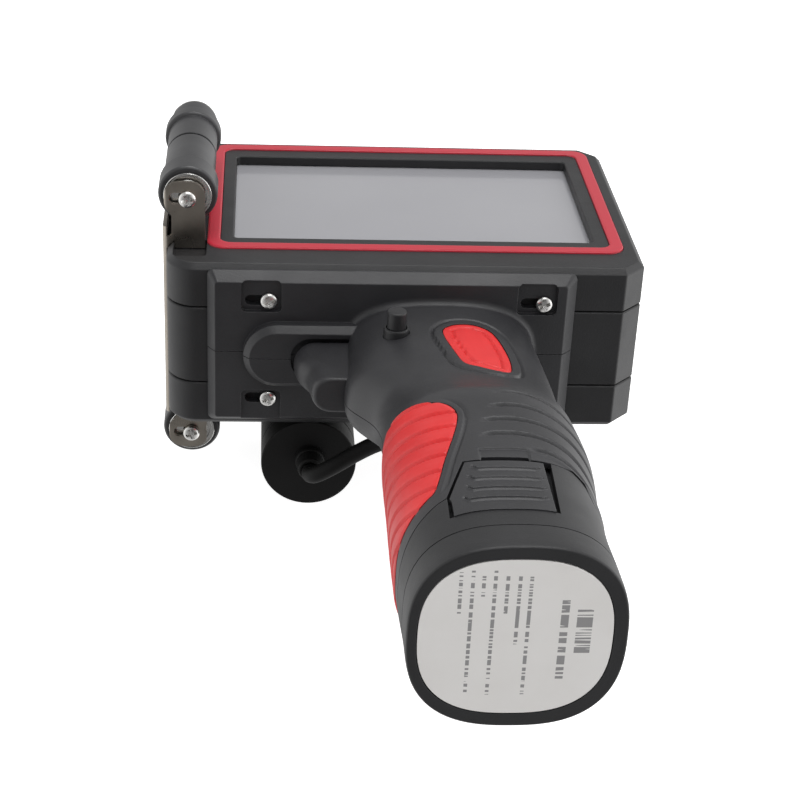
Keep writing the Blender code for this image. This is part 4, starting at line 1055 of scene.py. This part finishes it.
def make_soft_parts():
    for label, side in (("upper", 1), ("lower", -1)):
        skin = pushed(handle_loft("leaf", -10.0, -50.0, SKIN_PROUD, 0.35, 420), leaf_relief)
        leaf = skin_piece("leaf", INSERT_LINE, skin, INSERT_DEPTH, side)
        piece(leaf, "head_leaf_" + label, "printer", RED, ["head_insert_" + label], 38.0)
    skin = pushed(handle_loft("grip", -50.0, -118.0, SKIN_PROUD, 0.35, 420), grip_relief)
    grip = skin_piece("grip", GRIP_LINE, skin, GRIP_DEPTH)
    piece(grip, "grip_front", "printer", RED, ["front_grip"], 38.0)


def make_trigger():
    """A finger lever, rounded in front and hollowed for the forefinger, with a flat end."""
    front = smooth_line(TRIGGER_FRONT, 8)
    heights, fronts = [p[0] for p in front], [p[1] for p in front]
    top, end = TRIGGER_FRONT[0][0], TRIGGER_FRONT[-1][0]
    levels = [(top, 0.9), (top - 0.12, 0.5), (top - 0.35, 0.18), (top - 0.7, 0.0)]
    levels += [(top - 0.7 + (end - top + 1.4) * k / 40, 0.0) for k in range(1, 41)]
    levels += [(end + 0.4, 0.1), (end + 0.15, 0.35), (end, 0.8)]
    rings = []
    for y, inset in levels:
        x = float(np.interp(-y, [-h for h in heights], fronts)) + inset
        nose, half = TRIGGER_NOSE, TRIGGER_HALF - inset
        ring = []
        for k in range(33):
            a = math.radians(90.0 + 180.0 * k / 32)
            c, side = math.cos(a), math.sin(a)
            ring.append((x + nose - nose * abs(c) ** (2.0 / 2.3), y,
                         MID_Z + half * math.copysign(abs(side) ** (2.0 / 2.3), side)))
        ring += [(56.0, y, MID_Z - half), (56.0, y, MID_Z + half)]
        rings.append(ring)
    lever = loft(rings, "lever")
    flange = box((53.3, -28.4, MID_Z - 6.6), (55.3, -9.5, MID_Z + 6.6), "flange")
    combine(lever, [flange], "UNION")
    piece(lever, "trigger_lever", "trigger", GRIP_BLACK, ["trigger"], 30.0)


def make_button():
    x, y = BUTTON_XY
    top, r = BUTTON_TOP, BUTTON_RADIUS
    cap = ((0.0, top), (r - 0.5, top), (r - 0.25, top - 0.06), (r - 0.08, top - 0.22), (r, top - 0.5),
           (r, BUTTON_FOOT), (0.0, BUTTON_FOOT))
    piece(turned(cap, (x, y, 0.0), "cap", (0, 0, 1), 64), "button_cap", "power_button", BLACK,
          ["power_button_cap"])
    inner, outer, top = r + 0.15, COLLAR_RADIUS, COLLAR_TOP
    collar = ((inner, top - 0.2), (inner + 0.12, top), (outer - 0.35, top), (outer - 0.16, top - 0.08),
              (outer - 0.05, top - 0.35), (outer, top - 0.7), (outer, BUTTON_FOOT), (inner, BUTTON_FOOT))
    piece(turned(collar, (x, y, 0.0), "collar", (0, 0, 1), 64), "button_collar", "printer", BLACK,
          ["power_button_collar"])


# --------------------------------------------------------------------- battery

def latch_relief(co):
    """Four raised lines across the latch, their left ends turned up."""
    x, y, _ = co.T
    depth = np.zeros(len(co))
    for left, right, line in LATCH_RIBS:
        lift = 1.3 * (1.0 - ease(x, left, left + 1.2)) + 0.6 * ease(x, right - 0.9, right)
        within = ease(x, left - 0.2, left + 0.2) * (1.0 - ease(x, right - 0.2, right + 0.2))
        away = y - line - lift
        depth += within * (groove(away, 0.5, 0.75) - groove(away + 0.8, 0.55, 0.25))
    return depth


def make_battery():
    case = handle_loft("case", -92.0, CAP_SPLIT + 0.1, 0.0, 0.8, 240)
    above = offset_line(SEAM, -GAP / 2) + [(120.0, -60.0), (40.0, -60.0)]
    tools = [prism(above, -70.0, 30.0, "above_seam")]
    combine(case, tools)
    combine(case, [stick_loft("stick", STICK_TOP, CAP_SPLIT + 6.0, GAP, WELL_POWER)], "UNION")
    inset = GAP + CASE_WALL
    tools = [stick_loft("pack", STICK_TOP - 1.4, CAP_SPLIT - 6.0, inset, PACK_POWER),
             box((73.3, STICK_TOP - 3.0, MID_Z - 3.4), (87.1, STICK_TOP + 2.0, MID_Z + 3.4), "slot")]
    for side in (1, -1):
        low, high = (MID_Z + 12.0, MID_Z + 40.0) if side > 0 else (MID_Z - 40.0, MID_Z - 12.0)
        slot = prism(LATCH_SLOT, low, high, "latch_slot")
        combine(slot, [stick_loft("liner", -80.0, -130.0, inset - 0.25, PACK_POWER)])
        tools.append(slot)
    combine(case, tools)
    piece(case, "battery_sleeve", "battery", BLACK, ["battery_case"], 35.0)

    rings = []
    for y, inset in ((CAP_SPLIT - 0.1, 0.06), (CAP_SPLIT - 0.25, 0.0), (-128.5, 0.0), (-131.0, 0.0),
                     (-132.6, 0.0), (-133.8, 0.0), (-134.05, 0.03), (-134.22, 0.1), (-134.34, 0.22),
                     (HANDLE_END, 0.42)):
        left, right, above, below = handle_size(y)
        rings.append(section(y, (left + right) / 2, (right - left) / 2 - inset,
                             (above - inset, below - inset), SECTION_POWER, 240))
    cap = loft(rings, "cap")
    half_x, half_z = LABEL_HALF[0] + 0.25, LABEL_HALF[1] + 0.25
    recess = [section(y, BATTERY_X, half_x, (half_z, half_z), SECTION_POWER, 200)
              for y in (HANDLE_END - 1.0, HANDLE_END + 0.7)]
    tools = [loft(recess, "label_recess"),
             stick_loft("pack_end", CAP_SPLIT + 2.0, -131.7, inset, PACK_POWER)]
    combine(cap, tools)
    piece(cap, "battery_cap", "battery", BLACK, ["battery_base_cap"], 40.0)

    half_x, half_z = LABEL_HALF
    rings = [section(y, BATTERY_X, half_x - i, (half_z - i, half_z - i), SECTION_POWER, 200)
             for y, i in ((HANDLE_END + 0.4, 0.0), (HANDLE_END + 0.06, 0.0), (HANDLE_END, 0.08))]
    piece(loft(rings, "label"), "base_label", "battery", LABEL, ["battery_label"])

    for label, side in (("upper", 1), ("lower", -1)):
        skin = pushed(handle_loft("latch", -96.0, -122.0, 0.25, 0.22, 420), latch_relief)
        latch = skin_piece("latch", LATCH, skin, LATCH_THICK, side)
        piece(latch, "latch_" + label, "latch_" + label, GRIP_BLACK, ["battery_latch_" + label], 38.0)


# ------------------------------------------------------------------ print side

EAR_Y = (14.9, 76.0)
EAR_X = (-0.2, 10.8)
EAR_TOP = 4.7                          # from the roller's axis to the ear's end
EAR_CORNER = 3.8
EAR_NECK = (1.75, 5.2, 1.4)            # neck's left side, its start past the axis, its end above the body
EAR_FOOT = 1.9
EAR_SLOT = (-5.05, 1.8)
SHEET_X = (-0.7, 0.3)
UPPER_AXIS = (6.1, 12.6)               # the rollers' axes in x and z
LOWER_AXIS = (6.5, -59.7)
ROLLERS = (("upper", UPPER_AXIS, 0.0, -1.0), ("lower", LOWER_AXIS, -THICK, 1.0))
PLATE_RISE = 4.3
ROLLER_SPAN = (17.8, 73.1)


def sheet_channel(low, high):
    """A strip of the bent sheet in plan: the plate and both ears, with round bends."""
    left, right = SHEET_X
    near, far = EAR_Y
    outer = [(EAR_X[1], near)] + arc((left + 1.3, near + 1.3), 1.3, 270, 180, 8)
    outer += arc((left + 1.3, far - 1.3), 1.3, 180, 90, 8) + [(EAR_X[1], far)]
    inner = [(EAR_X[1], far - 1.0)] + arc((right + 0.3, far - 1.3), 0.3, 90, 180, 4)
    inner += arc((right + 0.3, near + 1.3), 0.3, 180, 270, 4) + [(EAR_X[1], near + 1.0)]
    return prism(outer + inner, low, high, "channel")


def ear_outline(axis, face, inward):
    """Ear outline in x and z: a round-cornered head past the axis, a neck and the bend."""
    (left, right), r = EAR_X, EAR_CORNER
    neck, neck_top, neck_end = EAR_NECK
    foot = abs(face - axis[1]) + EAR_FOOT
    bend = abs(face - axis[1]) - neck_end
    shift = axis[0] - UPPER_AXIS[0]
    points = [(right, foot)]
    points += [(x, -z) for x, z in arc((right - r, EAR_TOP - r), r, 0, 90, 12)]
    points += [(x, -z) for x, z in arc((left + r, EAR_TOP - r), r, 90, 180, 12)]
    points += [(x, 1.2 - z) for x, z in arc((left + r, 0.0), r, 180, 230, 8)]
    points += [(neck, neck_top), (neck, bend - 0.6), (neck - 0.6, bend)]
    points = [(x + shift, away) for x, away in points]
    points += [(SHEET_X[0] - 0.5, bend), (SHEET_X[0] - 0.5, foot)]
    return [(x, axis[1] + inward * away) for x, away in points]


def make_guide_plate():
    """One bent sheet: a flat guide plate with an ear turned in at each corner."""
    sheet = sheet_channel(LOWER_AXIS[1] - EAR_TOP, UPPER_AXIS[1] + EAR_TOP)
    keep = []
    for _, axis, face, inward in ROLLERS:
        outline = ear_outline(axis, face, inward)
        for near, far in ((EAR_Y[0] - 1.0, EAR_Y[0] + 2.0), (EAR_Y[1] - 2.0, EAR_Y[1] + 1.0)):
            keep.append(loft([[(x, y, z) for x, z in outline] for y in (near, far)], "keep_ear"))
    keep.append(box((SHEET_X[0] - 1.0, EAR_Y[0] - 1.0, -THICK - PLATE_RISE),
                    (SHEET_X[1] + 0.001, EAR_Y[1] + 1.0, PLATE_RISE), "keep_plate"))
    mask = combine(keep[0], keep[1:], "UNION", "EXACT")
    combine(sheet, [mask], "INTERSECT", "EXACT")
    tools = [box((-4.0, 40.0, -29.5), (2.0, 56.0, -18.0), "window")]
    for _, (x, z), _, _ in ROLLERS:
        track = rounded_rectangle((x + EAR_SLOT[0], x + EAR_SLOT[1]), (z - 1.6, z + 1.6), 1.55, 10)
        tools.append(loft([[(px, y, pz) for px, pz in track] for y in (EAR_Y[0] - 2.0, EAR_Y[1] + 2.0)], "track"))
    combine(sheet, tools, "DIFFERENCE", "EXACT")
    rounded(sheet, 0.14, 2, 40.0)
    piece(sheet, "guide_sheet", "printer", STEEL, ["print_guide_plate"], 18.0)


def tyre_profile(near, far):
    """A rubber sleeve with a collar at its near end, a ring near its far one, and grooves."""
    plain, proud, floor = 7.0, 8.05, 6.25
    turns = [math.radians(15.0 * k) for k in range(7)]
    points = [(5.95 + 0.95 * math.sin(a), far - 1.9 + 1.9 * math.cos(a)) for a in turns]
    points += [(6.9, 67.5), (6.75, 67.3), (floor, 67.2), (floor, 64.8), (7.85, 64.8)]
    points += [(proud - 0.2 + 0.2 * math.sin(a), 64.6 + 0.2 * math.cos(a)) for a in turns[1:]]
    points += [(proud, 60.8), (7.93, 60.45), (7.6, 60.15), (plain, 60.0)]
    for groove_far, groove_near in ((46.6, 45.5), (28.9, 26.5)):
        points += [(plain, groove_far + 0.25), (plain - 0.12, groove_far + 0.05), (floor, groove_far),
                   (floor, groove_near)]
        if groove_near > 30.0:
            points += [(plain - 0.12, groove_near - 0.05), (plain, groove_near - 0.25)]
    points += [(7.85, 26.5)]
    points += [(proud - 0.2 + 0.2 * math.sin(a), 26.3 + 0.2 * math.cos(a)) for a in turns[1:]]
    points += [(proud - 0.9 + 0.9 * math.cos(a), near + 0.9 - 0.9 * math.sin(a)) for a in turns]
    return points + [(5.95, near)]


def turned_screw(name, seat, direction, radius, height=1.5, shank=6.0):
    """A pan-head screw with a cross recess, its head resting at seat."""
    crown = [(radius * math.sin(a), height * (0.42 + 0.58 * math.cos(a)))
             for a in (math.radians(6.0 * k) for k in range(0, 15))]
    profile = [(0.0, height)] + crown[1:] + [(radius, height * 0.36), (radius, 0.12), (radius - 0.12, 0.0),
                                             (1.2, 0.0), (1.2, -shank), (0.0, -shank)]
    screw = turned(profile, seat, name, direction, 56)
    turn = Vector((0.0, 0.0, 1.0)).rotation_difference(Vector(direction)).to_matrix().to_4x4()
    for spin in (20.0, 110.0):
        arm = 0.7 * radius
        wide = 0.22 * radius
        blade = loft([[(-arm * s, -wide, h), (arm * s, -wide, h), (arm * s, wide, h), (-arm * s, wide, h)]
                      for s, h in ((0.35, height - 1.35), (1.0, height - 0.35), (1.0, height + 1.0))], "blade")
        blade.data.transform(Matrix.Translation(seat) @ turn @ Matrix.Rotation(math.radians(spin), 4, "Z"))
        combine(screw, [blade])
    return screw


def make_rollers():
    near, far = ROLLER_SPAN
    for label, (x, z), _, _ in ROLLERS:
        axis, body = (x, 0.0, z), label + "_roller"
        piece(turned(tyre_profile(near, far), axis, "tyre"), label + "_tyre", body, TYRE,
              [label + "_roller_tyre"], 40.0)
        core = ((5.6, far), (5.6, near), (5.3, near - 0.0), (4.4, near), (4.4, far))
        piece(turned(core, axis, "core"), label + "_core", body, STEEL, [label + "_roller_core"])
        for end, face, inward in (("near", near - GAP, 1.0), ("far", far + GAP, -1.0)):
            profile = [(6.5, face - inward * 0.7), (6.4, face - inward * 0.8), (6.15, face - inward * 0.8),
                       (6.1, face - inward * 0.25), (5.75, face - inward * 0.25), (5.7, face - inward * 0.8),
                       (5.2, face - inward * 0.8), (5.1, face - inward * 0.3),
                       (4.4, face - inward * 0.3), (4.3, face - inward * 0.8),
                       (2.5, face - inward * 0.8), (2.3, face - inward * 0.6),
                       (2.3, face + inward * 4.0), (4.1, face + inward * 4.0), (4.1, face), (6.5, face)]
            piece(turned(profile, axis, "bearing"), "%s_bearing_%s" % (label, end), body, BRIGHT,
                  ["%s_roller_bearing_%s" % (label, end)])
        for end, y, outward in (("near", EAR_Y[0] - GAP, -1.0), ("far", EAR_Y[1] + GAP, 1.0)):
            screw = turned_screw("screw", (x, y, z), (0.0, outward, 0.0), 2.35, shank=7.0)
            piece(screw, "%s_axle_screw_%s" % (label, end), "printer", BRIGHT,
                  ["%s_rod_screw_%s" % (label, end)])


def make_plate_screws():
    for x in PLATE_SCREW_X:
        for label, side in (("upper", 1), ("lower", -1)):
            seat = (x, POCKET_FLOOR - GAP / 2, MID_Z + side * PLATE_SCREW_Z)
            screw = turned_screw("screw", seat, (0.0, -1.0, 0.0), 2.3)
            piece(screw, "fixing_screw_%d_%s" % (x, label), "printer", BRIGHT,
                  ["plate_screw_%d_%s" % (x, label)])


# -------------------------------------------------------------------- encoder

ENCODER_X = 40.0
ENCODER_Z = -62.9
ENCODER_RADIUS = 13.5
ENCODER_Y = (3.0, 40.0)
CABLE_ROUTE = (
    (40.3, -4.2, -61.2), (40.3, -6.2, -61.1), (42.0, -9.0, -59.3), (46.4, -9.9, -56.2),
    (52.2, -9.4, -52.6), (58.4, -9.6, -49.0), (64.0, -11.4, -46.4), (68.2, -14.6, -45.0),
    (70.1, -16.6, -43.9), (70.3, -16.8, -42.6),
)
CABLE_RADIUS = 2.4


def make_encoder():
    axis = (ENCODER_X, 0.0, ENCODER_Z)
    near, far = ENCODER_Y
    r = ENCODER_RADIUS
    profile = [(0.0, far - 6.0), (3.08, far - 6.0), (3.08, far + 3.5), (7.7, far + 3.5), (8.0, far + 3.2),
               (8.0, far), (r - 0.6, far), (r - 0.15, far - 0.15), (r, far - 0.6),
               (r, near + 8.2), (r - 0.25, near + 8.0), (r - 0.25, near + 7.6), (r, near + 7.4)]
    profile += [(r - 0.45 + 0.45 * math.cos(a), near + 0.45 - 0.45 * math.sin(a))
                for a in (math.radians(15.0 * k) for k in range(0, 7))]
    profile += [(0.0, near)]
    piece(turned(profile, axis, "drum", steps=128), "encoder_drum", "printer", RUBBER, ["encoder_body"], 35.0)
    gland = [(2.45, near - 0.1), (2.45, near - 6.8), (3.0, near - 6.8), (3.4, near - 6.5)]
    gland += [(3.6, near - 5.4), (3.75, near - 4.0), (3.85, near - 2.6), (4.1, near - 2.3), (4.2, near - 0.1)]
    piece(turned(gland, (CABLE_ROUTE[0][0], 0.0, CABLE_ROUTE[0][2]), "gland", steps=64),
          "cable_boot", "printer", RUBBER, ["encoder_gland"])
    curve = bpy.data.curves.new("lead", "CURVE")
    curve.dimensions = "3D"
    curve.bevel_depth = CABLE_RADIUS - 0.05
    curve.bevel_resolution = 8
    curve.use_fill_caps = True
    spline = curve.splines.new("POLY")
    route = smooth_line(CABLE_ROUTE, 10)
    spline.points.add(len(route) - 1)
    for point, place in zip(spline.points, route):
        point.co = (*place, 1.0)
    tube = bpy.data.objects.new("tube", curve)
    SCENE.collection.objects.link(tube)
    view = bpy.context.evaluated_depsgraph_get()
    mesh = bpy.data.meshes.new_from_object(tube.evaluated_get(view))
    bpy.data.objects.remove(tube)
    lead = bpy.data.objects.new("lead", mesh)
    SCENE.collection.objects.link(lead)
    bm = bmesh.new()
    bm.from_mesh(mesh)
    bmesh.ops.remove_doubles(bm, verts=bm.verts, dist=0.001)
    bm.to_mesh(mesh)
    bm.free()
    piece(lead, "encoder_lead", "printer", RUBBER, ["encoder_cable"], 50.0)


make_shells()
make_handle()
make_soft_parts()
make_trigger()
make_button()
make_battery()
make_guide_plate()
make_rollers()
make_plate_screws()
make_encoder()
